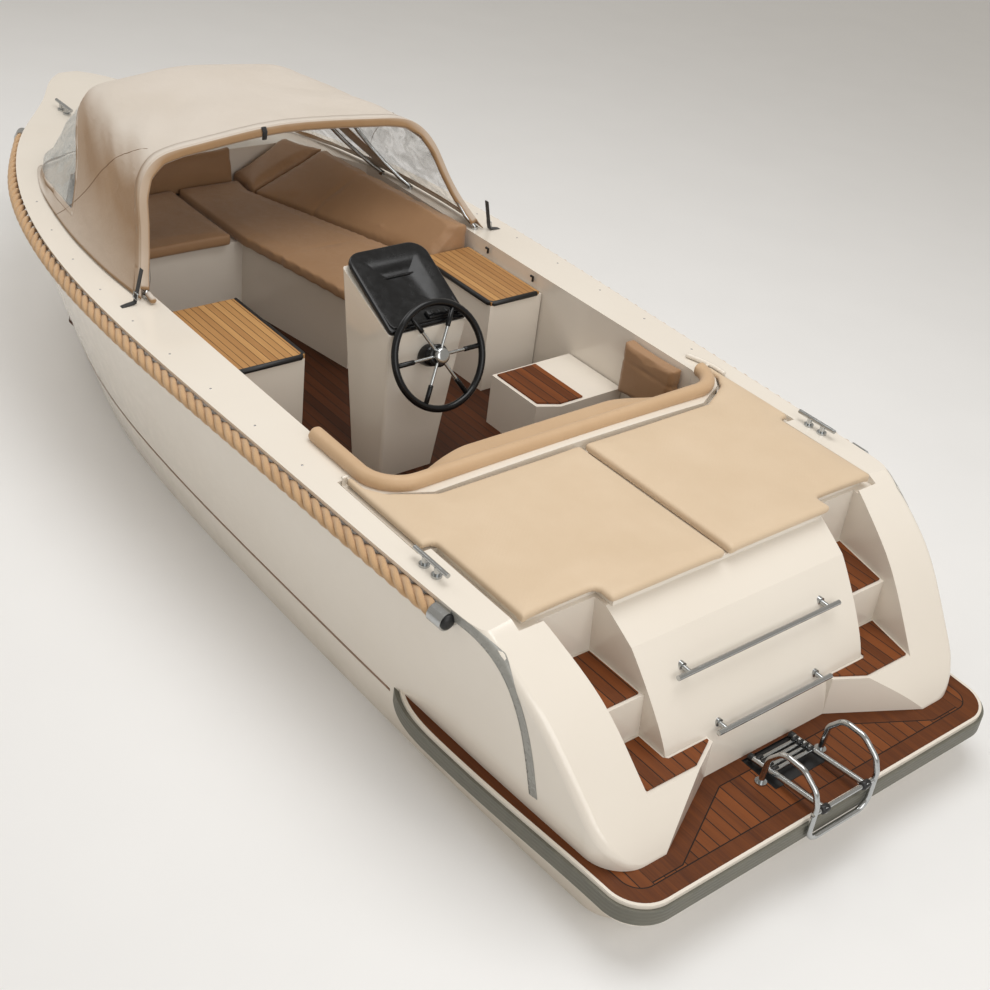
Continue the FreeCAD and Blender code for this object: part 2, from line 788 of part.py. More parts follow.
# sunpads and lid
lid_top_z = pad_deck_z + lid_thick
lid_outline = [
    (pad_front_mid_x - lid_inset, 0), (pad_front_turn_x - lid_inset, pad_front_turn_y),
    (lid_corner_x, lid_corner_y), (pad_front_edge_x - lid_inset, pad_front_edge_y - lid_inset),
    (pad_front_edge_x - lid_inset, lid_hinge_y + lid_hinge_length / 2),
    (pad_notch_x, lid_hinge_y + lid_hinge_length / 2),
    (pad_notch_x, pad_aft_half - lid_inset), (pad_aft_x + lid_inset, pad_aft_half - lid_inset),
    (pad_aft_x + lid_inset, pad_tail_half - lid_inset), (pad_tail_x + lid_inset, pad_tail_half - lid_inset),
    (pad_tail_x + lid_inset, 0)]
lid = plan(both_sides(lid_outline), pad_deck_z + lid_gap, lid_top_z)
for sign in (1, -1):
    y_from = sign * (lid_hinge_y - lid_hinge_length / 2)
    y_to = sign * (lid_hinge_y + lid_hinge_length / 2)
    arm_back = pad_front_edge_x - lid_inset * 2
    leaf_back = lid_hinge_x - lid_hinge_leaf
    lid = lid.fuse(box(arm_back, lid_hinge_x, y_from, y_to, pad_deck_z + lid_gap, lid_top_z))
    lid = lid.fuse(box(leaf_back, lid_hinge_x, y_from, y_to, pad_deck_z + lid_gap, lid_hinge_z))
    lid = lid.fuse(rod(V(lid_hinge_x, y_from, lid_hinge_z), V(lid_hinge_x, y_to, lid_hinge_z), lid_hinge_r))
pad = plan([(x, max(y, pad_seam_gap / 2)) for x, y in pad_outline(0)], lid_top_z, lid_top_z + pad_thick)
pad_port = pad
pad_stbd = pad.mirror(V(0, 0, 0), V(0, 1, 0))

# bolster roll round the aft end of the cockpit, and the lean pad under it
bolster_start = V(bolster_end_x, bolster_side_y, bolster_z)
roll = bent_tube([
    bolster_start, V(bolster_aft_x, bolster_side_y, bolster_z), V(bolster_aft_x, -bolster_side_y, bolster_z),
    V(bolster_stbd_end_x, -bolster_side_y, bolster_z)], bolster_r, bolster_bend_r).cut(hull)
roll.translate(V(bolster_gap, 0, bolster_gap))
lean_pad = box(cockpit_aft_x + bolster_gap, lean_pad_front_x, -lean_pad_half, lean_pad_half,
               lean_pad_low_z, lean_pad_high_z).cut(roll)
bolster = Part.makeCompound([max(roll.Solids, key=lambda piece: piece.Volume),
                             max(lean_pad.Solids, key=lambda piece: piece.Volume)])

sole = plan(both_sides(cockpit_outline(0)), cockpit_floor_z, sole_top_z)

# bench round the front and the starboard side
bench_base_top = seat_top_z - seat_cushion_thick
cockpit_space = plan(both_sides(cockpit_outline(locker_gap)), sole_top_z, high)
bench_base = plan([
    (bench_outer_aft_x, -cockpit_half), (bench_outer_aft_x, back_heel_aft_y + back_top_width),
    (bench_aft_x + base_recess / 2, back_heel_aft_y + back_top_width),
    (bench_aft_x + base_recess / 2, bench_aft_y - base_recess),
    (bench_corner_x + base_recess, bench_corner_y - base_seat_drop),
    (bench_corner_x + base_recess, cockpit_half),
    (cockpit_front_x, cockpit_half), (cockpit_front_x, -cockpit_half)], sole_top_z, bench_base_top)
locker_space = box(stbd_locker_aft_x, stbd_locker_front_x + locker_gap, -half_beam,
                   -stbd_locker_inner_y + locker_gap, 0, high)
bench_base = max(bench_base.common(cockpit_space).cut(locker_space).Solids, key=lambda piece: piece.Volume)


def back_line(x):
    """Edge of the seat along the side backrest."""
    part = (x - back_aft_x) / (back_front_x - back_aft_x)
    return seat_back_aft_y + (seat_back_front_y - seat_back_aft_y) * part


side_seat = plan([
    (bench_aft_x, bench_aft_y), (bench_corner_x, bench_corner_y), (bench_front_x, bench_corner_y),
    (bench_front_x, seat_back_front_y + cushion_gap), (back_front_x, seat_back_front_y + cushion_gap),
    (bench_aft_x, back_line(bench_aft_x) + cushion_gap)],
    bench_base_top + bolster_gap, seat_top_z).common(cockpit_space).cut(locker_space)
front_seat = plan([
    (bench_corner_x, bench_corner_y + cushion_gap), (bench_corner_x, cockpit_half),
    (bench_front_x, cockpit_half), (bench_front_x, bench_corner_y + cushion_gap)],
    bench_base_top + bolster_gap, seat_top_z).common(cockpit_space)


def back_section(x, foot_y, top_y, heel_y):
    points = [(foot_y, bench_base_top + bolster_gap), (foot_y, seat_top_z), (top_y, back_top_z),
              (top_y - back_top_width, back_top_z), (heel_y, bench_base_top + bolster_gap)]
    return Part.makePolygon([V(x, y, z) for y, z in points + points[:1]])


back_space = cockpit_space.fuse(plan(both_sides(cockpit_outline(back_side_gap)), sole_top_z, high))
side_back = Part.makeLoft([
    back_section(back_aft_x, seat_back_aft_y, back_top_aft_y, back_heel_aft_y),
    back_section(back_front_x, seat_back_front_y, back_top_front_y, back_heel_front_y)], True, True)
side_back = side_back.common(back_space)
back_end_x = cockpit_front_x - back_side_gap
front_back = side([
    (bench_front_x + cushion_gap, bench_base_top + bolster_gap), (bench_front_x + cushion_gap, seat_top_z),
    (back_end_x - back_front_thick / 2, back_top_z), (back_end_x, back_top_z),
    (back_end_x, bench_base_top + bolster_gap)],
    seat_back_front_y + cushion_gap, cockpit_half).common(cockpit_space)


def locker(x0, x1, y_in, y_out, sign):
    """Open-topped box with one long lid seat."""
    outer = box(x0, x1, sign * y_in, sign * y_out, sole_top_z, locker_top_z)
    inner = box(x0 + locker_wall, x1 - locker_wall, sign * (y_in + locker_wall), sign * (y_out - locker_wall),
                sole_top_z + locker_floor, high)
    return outer.cut(inner)


def locker_lid(x0, x1, y_in, y_out, sign):
    """Lid whose outer edge is a full round on the hinge line."""
    y_pin = sign * (y_out - locker_side_clear)
    half_thick = (locker_lid_thick - lid_gap) / 2
    panel = box(x0, x1, sign * y_in, y_pin, locker_top_z + lid_gap, locker_top_z + locker_lid_thick)
    z_pin = locker_top_z + lid_gap + half_thick
    return panel.fuse(rod(V(x0, y_pin, z_pin), V(x1, y_pin, z_pin), half_thick))


port_box = (port_locker_aft_x, port_locker_front_x, port_locker_inner_y, cockpit_half - locker_gap, 1)
stbd_box = (stbd_locker_aft_x, stbd_locker_front_x, stbd_locker_inner_y, cockpit_half - locker_gap, -1)
port_locker = locker(*port_box)
stbd_locker = locker(*stbd_box)
port_lid = locker_lid(*port_box)
stbd_lid = locker_lid(*stbd_box)

step_side = -cockpit_half + locker_gap
helm_corner = helm_tread_cut + helm_tread_inset
helm_step = plan([
    (helm_step_front_x, -helm_step_inner_y), (helm_step_front_x, step_side), (helm_step_aft_x, step_side),
    (helm_step_aft_x, -helm_step_inner_y - helm_corner),
    (helm_step_aft_x + helm_corner / 2, -helm_step_inner_y)],
    sole_top_z, helm_step_top_z)
helm_tread = plan([
    (helm_step_front_x - helm_tread_inset, -helm_step_inner_y - helm_tread_inset),
    (helm_step_front_x - helm_tread_inset, -helm_tread_outer_y),
    (helm_step_aft_x + helm_tread_inset, -helm_tread_outer_y),
    (helm_step_aft_x + helm_tread_inset, -helm_step_inner_y - helm_corner - helm_tread_inset / 2),
    (helm_step_aft_x + helm_tread_inset * 1.5 + helm_tread_cut / 2, -helm_step_inner_y - helm_tread_inset)],
    helm_step_top_z, helm_step_top_z + tread_thick)
back_pad = box(back_pad_aft_x, back_pad_front_x, -cockpit_half + locker_gap,
               -cockpit_half + locker_gap + back_pad_thick, back_pad_low_z, back_pad_high_z)


def quad(xs, ys, za, zf):
    """Closed outline of a console level, sloping from its aft to its front edge."""
    return Part.makePolygon([V(xs[0], ys[0], za), V(xs[1], ys[0], zf), V(xs[1], ys[1], zf),
                             V(xs[0], ys[1], za), V(xs[0], ys[0], za)])


console = Part.makeLoft([quad(console_foot_x, console_foot_y, sole_top_z, sole_top_z),
                         quad(console_top_x, console_top_y, console_aft_z, console_front_z)], True, True)
console = console.makeFillet(console_edge_r, [edge for edge in console.Edges
                                              if edge.BoundBox.ZLength > console_front_z / 2])
slope = V(console_top_x[1] - console_top_x[0], 0, console_front_z - console_aft_z)
slope_length = slope.Length
slope.normalize()
lift = V(-slope.z, 0, slope.x)
dash_origin = V(console_top_x[0], 0, console_aft_z).add(lift * dash_gap)


def dash_point(along, up):
    place = dash_origin.add(slope * along).add(lift * up)
    return (place.x, place.z)


dash = side([
    dash_point(-dash_margin, 0), dash_point(slope_length + dash_brow_over, 0),
    dash_point(slope_length + dash_brow_over, dash_thick + dash_brow_rise / 2),
    dash_point(slope_length, dash_thick + dash_brow_rise),
    dash_point(slope_length - dash_brow_length / 2, dash_thick + dash_brow_rise * 0.9),
    dash_point(slope_length - dash_brow_length, dash_thick),
    dash_point(-dash_margin, dash_thick)], console_top_y[0] - dash_margin, console_top_y[1] + dash_margin)
dash = dash.makeFillet(dash_margin, [edge for edge in dash.Edges if edge.BoundBox.YLength > wheel_r])

# steering wheel
tilt = math.radians(wheel_tilt_deg)
wheel_axis = V(-math.cos(tilt), 0, math.sin(tilt))
hub_at = V(wheel_hub_x, wheel_y, wheel_z)
rim = Part.makeTorus(wheel_r - wheel_rim_r, wheel_rim_r, hub_at, wheel_axis)
wheel_rim = rim
half_hub = wheel_axis * wheel_hub_length / 2
spokes = rod(hub_at.sub(half_hub), hub_at.add(half_hub), wheel_hub_r)
across = V(0, 1, 0)
upward = wheel_axis.cross(across)
for i in range(wheel_spoke_count):
    turn = 2 * math.pi * i / wheel_spoke_count
    arm = across * math.cos(turn) + upward * math.sin(turn)
    spokes = spokes.fuse(rod(hub_at, hub_at.add(arm * (wheel_r - wheel_rim_r)), wheel_spoke_r))
wheel_spokes = spokes.cut(rim)
shaft_front = hub_at.sub(wheel_axis * (wheel_hub_length / 2 + shaft_gap))
steering_shaft = rod(shaft_front, shaft_front.sub(wheel_axis * wheel_r), shaft_r).cut(console).cut(dash)
steering_shaft = sorted(steering_shaft.Solids, key=lambda s: s.CenterOfMass.x)[0]

throttle_y = console_top_y[0]
lever_foot = V(throttle_x, throttle_y, throttle_z)
base_run = V(0, throttle_base_thick, 0)
throttle = rod(lever_foot.add(base_run * 2), lever_foot.sub(base_run), throttle_base_r)
lever_start = lever_foot.sub(V(0, throttle_base_thick - throttle_lever_r, 0))
throttle = throttle.fuse(rod(lever_start, lever_start.add(V(0, 0, throttle_lever_length)), throttle_lever_r))
throttle = throttle.cut(console)


# spray hood
def hood_arch(row):
    """Points of one arch from its port foot over the crown to its starboard foot."""
    foot_x, foot_y, corner_x, corner_y, corner_z, crown_x, crown_z = row
    port = []
    for a, h in hood_side_shares:
        port.append(V(hood_aft_x + hood_length * (foot_x + (corner_x - foot_x) * a),
                      hood_half * (foot_y + (corner_y - foot_y) * a),
                      hood_base_z + hood_height * corner_z * h))
    for a, h in hood_top_shares:
        port.append(V(hood_aft_x + hood_length * (corner_x + (crown_x - corner_x) * a),
                      hood_half * corner_y * (1 - a),
                      hood_base_z + hood_height * (corner_z + (crown_z - corner_z) * h)))
    port = [V(p.x, p.y, max(p.z, deck_z(along_at(p.x), p.y) + hood_lift)) for p in port]
    return port + [V(p.x, -p.y, p.z) for p in reversed(port[:-1])]


def even_arch(points):
    """Arch points spaced evenly along a smooth curve, the same on both sides."""
    curve = Part.BSplineCurve()
    curve.interpolate(points)
    spaced = curve.discretize(Number=2 * hood_arch_count + 1)
    port = spaced[:hood_arch_count]
    crown = spaced[hood_arch_count]
    return port + [V(crown.x, 0, crown.z)] + [V(p.x, -p.y, p.z) for p in reversed(port)]


def spline_through(points, places):
    curve = Part.BSplineCurve()
    curve.interpolate(Points=points, Parameters=places)
    return curve


def cloth_surface(rows):
    """One smooth surface through every point of a grid, spaced by the real distance between its arches."""
    across = [i / (len(rows[0]) - 1) for i in range(len(rows[0]))]
    reach = [0.0]
    for first, second in zip(rows, rows[1:]):
        reach.append(reach[-1] + sum(p.distanceToPoint(q) for p, q in zip(first, second)))
    along = [r / reach[-1] for r in reach]
    arches = [spline_through(row, across) for row in rows]
    runs = [spline_through([arch.getPole(k + 1) for arch in arches], along) for k in range(arches[0].NbPoles)]
    poles = [[run.getPole(k + 1) for run in runs] for k in range(runs[0].NbPoles)]
    surface = Part.BSplineSurface()
    surface.buildFromPolesMultsKnots(
        poles, runs[0].getMultiplicities(), arches[0].getMultiplicities(), runs[0].getKnots(),
        arches[0].getKnots(), False, False, runs[0].Degree, arches[0].Degree)
    return surface


hood_rows = [even_arch(hood_arch(row)) for row in hood_row_shares]
hood_outer = cloth_surface(hood_rows)


def hood_inside(depth):
    """Arches moved in from the outer face of the hood by a depth."""
    rows = []
    for row in hood_rows:
        moved = []
        for point in row:
            u, v = hood_outer.parameter(point)
            normal = hood_outer.normal(u, v)
            if normal.z * (hood_half - abs(point.y)) + normal.y * point.y < 0:
                normal = normal * -1
            moved.append(point.sub(normal * depth))
        rows.append(moved)
    return rows


hood_skin = hood_outer.toShape().makeOffsetShape(hood_thick, hood_tolerance, fill=True)


def hood_zone(shares, y_from, y_to):
    outline = [(hood_aft_x + hood_length * a, hood_base_z + hood_height * h) for a, h in shares]
    return side(outline, y_from, y_to)


middle_pane = hood_window_post - hood_window_middle
window_zone = hood_zone(front_window_shares, hood_window_post, far)
window_zone = window_zone.fuse(hood_zone(front_window_shares, -hood_window_post, -far))
window_zone = window_zone.fuse(hood_zone(front_window_shares, -middle_pane, middle_pane))
window_zone = window_zone.fuse(hood_zone(side_window_shares, -hood_window_middle, -far))
hood_windows = hood_skin.common(window_zone)
hood = max(hood_skin.cut(window_zone).Solids, key=lambda piece: piece.Volume)


lifted_hull = hull.copy()
lifted_hull.translate(V(0, 0, hood_foot_gap))


def hood_bow(index):
    """Tube arch under the cloth, standing on the deck on two round feet."""
    curve = Part.BSplineCurve()
    curve.interpolate(hood_inside(hood_thick + hood_tube_r + hood_tube_gap)[index])
    row = curve.discretize(Number=hood_tube_knots)
    on_deck = deck_z(along_at(row[0].x), row[0].y)
    rise = (on_deck + hood_foot_start - row[0].z) / (row[1].z - row[0].z)
    foot = row[0].add(row[1].sub(row[0]) * rise)
    port = V(foot.x, foot.y, 0)
    stbd = V(foot.x, -foot.y, 0)
    low = V(0, 0, foot.z)
    tube = bent_tube([port.add(low)] + row[1:-1] + [stbd.add(low)], hood_tube_r, hood_tube_bend)
    for under in (port, stbd):
        start = under.add(V(0, 0, on_deck - lid_gap))
        disc = rod(start, under.add(V(0, 0, on_deck + hood_foot_high)), hood_foot_r).cut(lifted_hull)
        tube = tube.fuse(max(disc.Solids, key=lambda piece: piece.Volume))
    return tube


hood_frame = Part.makeCompound([hood_bow(index) for index in hood_bow_rows])
strap_line = [(hood_half * a, hood_base_z + hood_height * h) for a, h in strap_shares]
strap_back = [(y + strap_thick, z + strap_thick) for y, z in reversed(strap_line)]
strap = cross(strap_line + strap_back, strap_x - strap_width / 2, strap_x + strap_width / 2)
strap = strap.cut(hull).cut(hood_skin)
hood_straps = both(max(strap.Solids, key=lambda piece: piece.Volume))

# engine, shaft line, propeller and rudder
engine = box(engine_x - engine_length / 2, engine_x + engine_length / 2, -engine_width / 2, engine_width / 2,
             bay_floor_z, bay_floor_z + engine_height)
shaft_from = V(shaft_start_x, 0, shaft_start_z)
shaft_to = V(shaft_end_x, 0, shaft_end_z)
shaft_run = shaft_to.sub(shaft_from)
shaft_run.normalize()
skeg = side([(skeg_front_x + skeg_slope, 0), (skeg_front_x, skeg_low_z), (skeg_aft_x, skeg_low_z),
             (skeg_aft_x, 0)],
            -skeg_thick / 2, skeg_thick / 2).cut(hull)
skeg = max(skeg.Solids, key=lambda piece: piece.Volume)
shaft_tube = rod(shaft_from, shaft_to.sub(shaft_run * prop_gap), shaft_tube_r)
strut_x = shaft_end_x + strut_back + strut_width
strut = box(strut_x - strut_width / 2, strut_x + strut_width / 2, -strut_thick / 2, strut_thick / 2,
            shaft_end_z + strut_back, 0)
stern_gear = shaft_tube.fuse(strut).cut(hull).cut(skeg)
stern_gear = max(stern_gear.Solids, key=lambda piece: piece.Volume)
shaft_slope = math.degrees(math.atan2(shaft_start_z - shaft_end_z, shaft_start_x - shaft_end_x))
propeller = Part.makeCone(prop_hub_r, prop_nose_r, prop_hub_length, shaft_to, shaft_run)
propeller = propeller.fuse(rod(shaft_to.sub(shaft_run * (prop_gap - ladder_gap)), shaft_to, prop_nose_r))
for i in range(prop_blade_count):
    blade = Part.makeCylinder(prop_blade_width / 2, prop_blade_thick)
    stretch = FreeCAD.Matrix()
    stretch.scale(V(1, prop_r / prop_blade_width, 1))
    blade = blade.transformGeometry(stretch)
    blade.translate(V(0, prop_r / 2, -prop_blade_thick / 2))
    blade.rotate(V(0, 0, 0), V(0, 1, 0), 90 - prop_pitch_deg)
    blade.rotate(V(0, 0, 0), V(1, 0, 0), 360.0 * i / prop_blade_count)
    blade.rotate(V(0, 0, 0), V(0, 1, 0), -shaft_slope)
    blade.translate(shaft_to.add(shaft_run * prop_hub_length / 2))
    propeller = propeller.fuse(blade)
rudder_front = rudder_x + rudder_length * rudder_balance_share
rudder_back = rudder_front - rudder_length
rudder = side([(rudder_front, rudder_top_z), (rudder_front - rudder_thick, rudder_low_z),
               (rudder_back + rudder_thick, rudder_low_z), (rudder_back, rudder_top_z)],
              -rudder_thick / 2, rudder_thick / 2)
rudder = rudder.fuse(rod(V(rudder_x, 0, rudder_top_z), V(rudder_x, 0, rudder_stock_high_z), rudder_stock_r))

# bow eye
eye_x = transom_x + hull_length * bow_eye_share
eye_at = V(eye_x + bow_eye_ring_r / 2, 0, bow_eye_z)
bow_eye = Part.makeTorus(bow_eye_ring_r, bow_eye_r, eye_at, V(0, 1, 0)).cut(hull)
bow_eye = max(bow_eye.Solids, key=lambda piece: piece.CenterOfMass.x)

save("hull", hull)
save("swim_platform", platform)
save("platform_teak", teak)
save("platform_band", band)
save("step_teak_low", step_teak_low)
save("step_teak_high", step_teak_high)
save("grab_rails", rails)
save("ladder", ladder)
save("ladder_hoops", hoops)
save("fender_caps", fender_caps)
save("rope_fender", rope_fender)
save("cleats", cleats)
save("hatch_lid", lid)
save("sunpad_port", pad_port)
save("sunpad_stbd", pad_stbd)
save("bolster", bolster)
save("cockpit_sole", sole)
save("bench_base", bench_base)
save("seat_cushion_side", side_seat)
save("seat_cushion_front", front_seat)
save("backrest_side", side_back)
save("backrest_front", front_back)
save("locker_port", port_locker)
save("locker_stbd", stbd_locker)
save("locker_lid_port", port_lid)
save("locker_lid_stbd", stbd_lid)
save("helm_step", helm_step)
save("helm_tread", helm_tread)
save("back_pad", back_pad)
save("console", console)
save("dash", dash)
save("wheel_rim", wheel_rim)
save("wheel_spokes", wheel_spokes)
save("steering_shaft", steering_shaft)
save("throttle", throttle)
save("hood_canvas", hood)
save("hood_windows", hood_windows)
save("hood_frame", hood_frame)
save("hood_straps", hood_straps)
save("engine", engine)
save("skeg", skeg)
save("stern_gear", stern_gear)
save("propeller", propeller)
save("rudder", rudder)
save("bow_eye", bow_eye)
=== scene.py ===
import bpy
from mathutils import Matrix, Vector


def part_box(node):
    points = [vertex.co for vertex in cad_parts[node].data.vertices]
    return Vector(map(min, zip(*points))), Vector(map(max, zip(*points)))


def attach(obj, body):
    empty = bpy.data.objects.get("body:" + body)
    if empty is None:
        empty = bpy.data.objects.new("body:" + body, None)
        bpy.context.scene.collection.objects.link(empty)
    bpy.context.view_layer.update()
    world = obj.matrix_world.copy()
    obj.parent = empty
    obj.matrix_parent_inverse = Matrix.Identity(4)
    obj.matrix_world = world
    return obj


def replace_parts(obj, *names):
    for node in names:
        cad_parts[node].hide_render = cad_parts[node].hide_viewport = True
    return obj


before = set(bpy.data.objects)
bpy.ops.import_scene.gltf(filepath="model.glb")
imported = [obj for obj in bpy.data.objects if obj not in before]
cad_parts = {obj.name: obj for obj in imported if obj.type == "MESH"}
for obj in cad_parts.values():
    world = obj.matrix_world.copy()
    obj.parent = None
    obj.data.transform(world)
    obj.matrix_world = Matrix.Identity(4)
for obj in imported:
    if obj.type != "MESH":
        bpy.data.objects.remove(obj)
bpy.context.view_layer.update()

import math
import bmesh
import bpy
import numpy
from mathutils import Matrix, Vector
from mathutils.bvhtree import BVHTree
from mathutils.geometry import intersect_point_line


# Hull, deck, steps, casing, seat boxes, console and skeg: off-white gelcoat over laminate.
# It is sprayed in a polished mould, so it is smooth and glossy, with a faint ripple from the
# laminate under it, a little dulling where feet and hands pass, and a stain near the water.

def colour(text):
    """sRGB hex to linear red, green, blue, alpha."""
    parts = [int(text[i:i + 2], 16) / 255 for i in (1, 3, 5)]
    return tuple(p / 12.92 if p <= 0.04045 else ((p + 0.055) / 1.055) ** 2.4 for p in parts) + (1.0,)


def join(tree, node, sockets):
    """Sets or links the sockets of a shader node."""
    for name, value in sockets.items():
        if isinstance(value, bpy.types.NodeSocket):
            tree.links.new(value, node.inputs[name])
        else:
            node.inputs[name].default_value = value


def add(tree, kind, sockets=None, out=0, **settings):
    """A shader node with its settings and links; gives one of its outputs."""
    node = tree.nodes.new("ShaderNode" + kind)
    for name, value in settings.items():
        setattr(node, name, value)
    join(tree, node, sockets or {})
    return node.outputs[out]


def finish(name):
    """A new material: itself, its tree, its shader and the place on the object."""
    made = bpy.data.materials.new(name)
    made.use_nodes = True
    tree = made.node_tree
    shader = next(node for node in tree.nodes if node.type == "BSDF_PRINCIPLED")
    return made, tree, shader, add(tree, "TexCoord", out=3)


def paint(made, *names):
    """Gives a material to CAD nodes or pieces."""
    for name in names:
        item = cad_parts[name] if isinstance(name, str) else name
        item.data.materials.clear()
        item.data.materials.append(made)


gelcoat, tree, shader, place = finish("gelcoat")
height = add(tree, "SeparateXYZ", {0: place}, 2)
cloudy = add(tree, "TexNoise", {"Vector": place, "Scale": 1.6, "Detail": 3.0})
tone = add(tree, "Mix", {"Factor": cloudy, 6: colour("#ece5da"), 7: colour("#e5dccf")}, 2, data_type="RGBA")
low = add(tree, "MapRange", {0: height, 1: 0.16, 2: 0.0, 3: 0.0, 4: 0.5})
blotch = add(tree, "TexNoise", {"Vector": place, "Scale": 9.0, "Detail": 6.0})
stain = add(tree, "Math", {0: low, 1: blotch}, operation="MULTIPLY")
tone = add(tree, "Mix", {"Factor": stain, 6: tone, 7: colour("#a3937b")}, 2, data_type="RGBA")
scuffs = add(tree, "TexNoise", {"Vector": place, "Scale": 22.0, "Detail": 6.0})
rough = add(tree, "MapRange", {0: scuffs, 1: 0.35, 2: 0.7, 3: 0.16, 4: 0.27})
ripple = add(tree, "TexNoise", {"Vector": place, "Scale": 35.0, "Detail": 1.0})
join(tree, shader, {"Base Color": tone, "Roughness": rough, "Coat Weight": 0.5, "Coat Roughness": 0.06,
                    "Normal": add(tree, "Bump", {"Height": ripple, "Strength": 0.05, "Distance": 0.001})})
paint(gelcoat, "hull", "swim_platform", "hatch_lid", "bench_base", "locker_port", "locker_stbd", "helm_step",
      "console", "skeg")


# Hull stripes: a grey curved stripe on each quarter and a thin brown line above the water.
# Each is vinyl film stuck on the gelcoat, so it follows the side of the hull.

def spline(points, places, at):
    """Smooth curve through points that lie at given places, read at other places."""
    t, p = numpy.array(places, float), numpy.array(points, float)
    n, h = len(t), numpy.diff(numpy.array(places, float))
    system, right = numpy.zeros((n, n)), numpy.zeros(p.shape)
    system[0, 0] = system[-1, -1] = 1
    for i in range(1, n - 1):
        system[i, i - 1:i + 2] = h[i - 1], 2 * (h[i - 1] + h[i]), h[i]
        right[i] = 6 * ((p[i + 1] - p[i]) / h[i] - (p[i] - p[i - 1]) / h[i - 1])
    bend = numpy.linalg.solve(system, right)
    at = numpy.array(at, float)
    k = numpy.clip(numpy.searchsorted(t, at) - 1, 0, n - 2)
    a, b, w = (t[k + 1] - at)[:, None], (at - t[k])[:, None], h[k][:, None]
    return (bend[k] * a ** 3 + bend[k + 1] * b ** 3) / (6 * w) + (p[k] / w - bend[k] * w / 6) * a \
        + (p[k + 1] / w - bend[k + 1] * w / 6) * b


def through(points, count):
    """Smooth curve through points, as a count of evenly spaced places along it."""
    p = numpy.array(points, float)
    reach = numpy.concatenate([[0], numpy.cumsum(numpy.linalg.norm(numpy.diff(p, axis=0), axis=1))])
    fine = spline(p, reach, numpy.linspace(0, reach[-1], 8 * count))
    reach = numpy.concatenate([[0], numpy.cumsum(numpy.linalg.norm(numpy.diff(fine, axis=0), axis=1))])
    even = numpy.linspace(0, reach[-1], count)
    return numpy.stack([numpy.interp(even, reach, fine[:, k]) for k in range(p.shape[1])], axis=1)


def surface_of(*names):
    """Search tree over the faces of CAD nodes."""
    points, faces = [], []
    for name in names:
        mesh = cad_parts[name].data
        base = len(points)
        points += [vertex.co.copy() for vertex in mesh.vertices]
        faces += [[base + index for index in face.vertices] for face in mesh.polygons]
    return BVHTree.FromPolygons(points, faces)


def piece(name, points, faces, made, body="hull", smooth=True):
    """A new mesh object of one material that rides on a body."""
    mesh = bpy.data.meshes.new(name)
    mesh.from_pydata([tuple(point) for point in points], [], faces)
    mesh.polygons.foreach_set("use_smooth", [smooth] * len(mesh.polygons))
    item = bpy.data.objects.new(name, mesh)
    bpy.context.scene.collection.objects.link(item)
    item.data.materials.append(made)
    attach(item, body)
    return item


def thicken(item, thick, offset=1.0):
    """Gives a sheet its thickness; offset says to which side."""
    made = item.modifiers.new("thickness", "SOLIDIFY")
    made.thickness = thick
    made.offset = offset


FILM_THICK, FILM_LIFT = 0.0006, 0.0011
hull_surface = surface_of("hull")


def hull_stripe(name, line, width, made):
    """Film strip along a line of the side view, laid on both sides of the hull."""
    middle = through(line, 150)
    run = numpy.gradient(middle, axis=0)
    run /= numpy.linalg.norm(run, axis=1)[:, None]
    shares = (-1, -0.6, -0.2, 0.2, 0.6, 1)
    wide = len(shares)
    points, faces = [], []
    for sign in (1, -1):
        rows = []
        for (x, z), (dx, dz) in zip(middle, run):
            row = []
            for k in shares:
                start = Vector((x - dz * width * k / 2, sign * 2, z + dx * width * k / 2))
                spot, normal, _, _ = hull_surface.ray_cast(start, Vector((0, -sign, 0)))
                if spot is not None:
                    row.append(spot + normal * (FILM_LIFT if normal.y * sign > 0 else -FILM_LIFT))
            rows.append(row)
        rows = [row for row in rows if len(row) == wide]
        base = len(points)
        points += [point for row in rows for point in row]
        for i in range(len(rows) - 1):
            for k in range(wide - 1):
                a = base + wide * i + k
                faces.append((a, a + 1, a + wide + 1, a + wide)[::-sign])
    item = piece(name, points, faces, made)
    thicken(item, FILM_THICK)


stripe_film, tree, shader, place = finish("grey_stripe_film")
wear = add(tree, "TexNoise", {"Vector": place, "Scale": 30.0, "Detail": 5.0})
join(tree, shader, {
    "Base Color": add(tree, "Mix", {"Factor": wear, 6: colour("#8b8b86"), 7: colour("#a09f99")}, 2, data_type="RGBA"),
    "Roughness": add(tree, "MapRange", {0: wear, 1: 0.3, 2: 0.7, 3: 0.22, 4: 0.34})})
brown_film, tree, shader, place = finish("brown_stripe_film")
wear = add(tree, "TexNoise", {"Vector": place, "Scale": 30.0, "Detail": 5.0})
join(tree, shader, {
    "Base Color": add(tree, "Mix", {"Factor": wear, 6: colour("#7d5a44"), 7: colour("#8f6c54")}, 2, data_type="RGBA"),
    "Roughness": add(tree, "MapRange", {0: wear, 1: 0.3, 2: 0.7, 3: 0.3, 4: 0.42})})
hull_stripe("quarter_stripe", [(-2.105, 0.84), (-2.205, 0.843), (-2.265, 0.833), (-2.323, 0.81), (-2.378, 0.768),
                               (-2.426, 0.702), (-2.49, 0.519), (-2.519, 0.327)], 0.04, stripe_film)
hull_stripe("water_stripe", [(-1.72, 0.195), (-0.9, 0.2), (0.3, 0.21), (1.4, 0.26), (2.2, 0.36)], 0.014, brown_film)


# Teak: oiled strips with black caulking, glued on the platform, steps, sole and helm step.
# On the platform a border plank runs round the edge and the risers, and the strips between
# lie fore and aft. Planks are 50 mm wide with 4 mm seams and differ a little in tone.

PLANK, SEAM, BORDER = 0.050, 0.004, 0.062


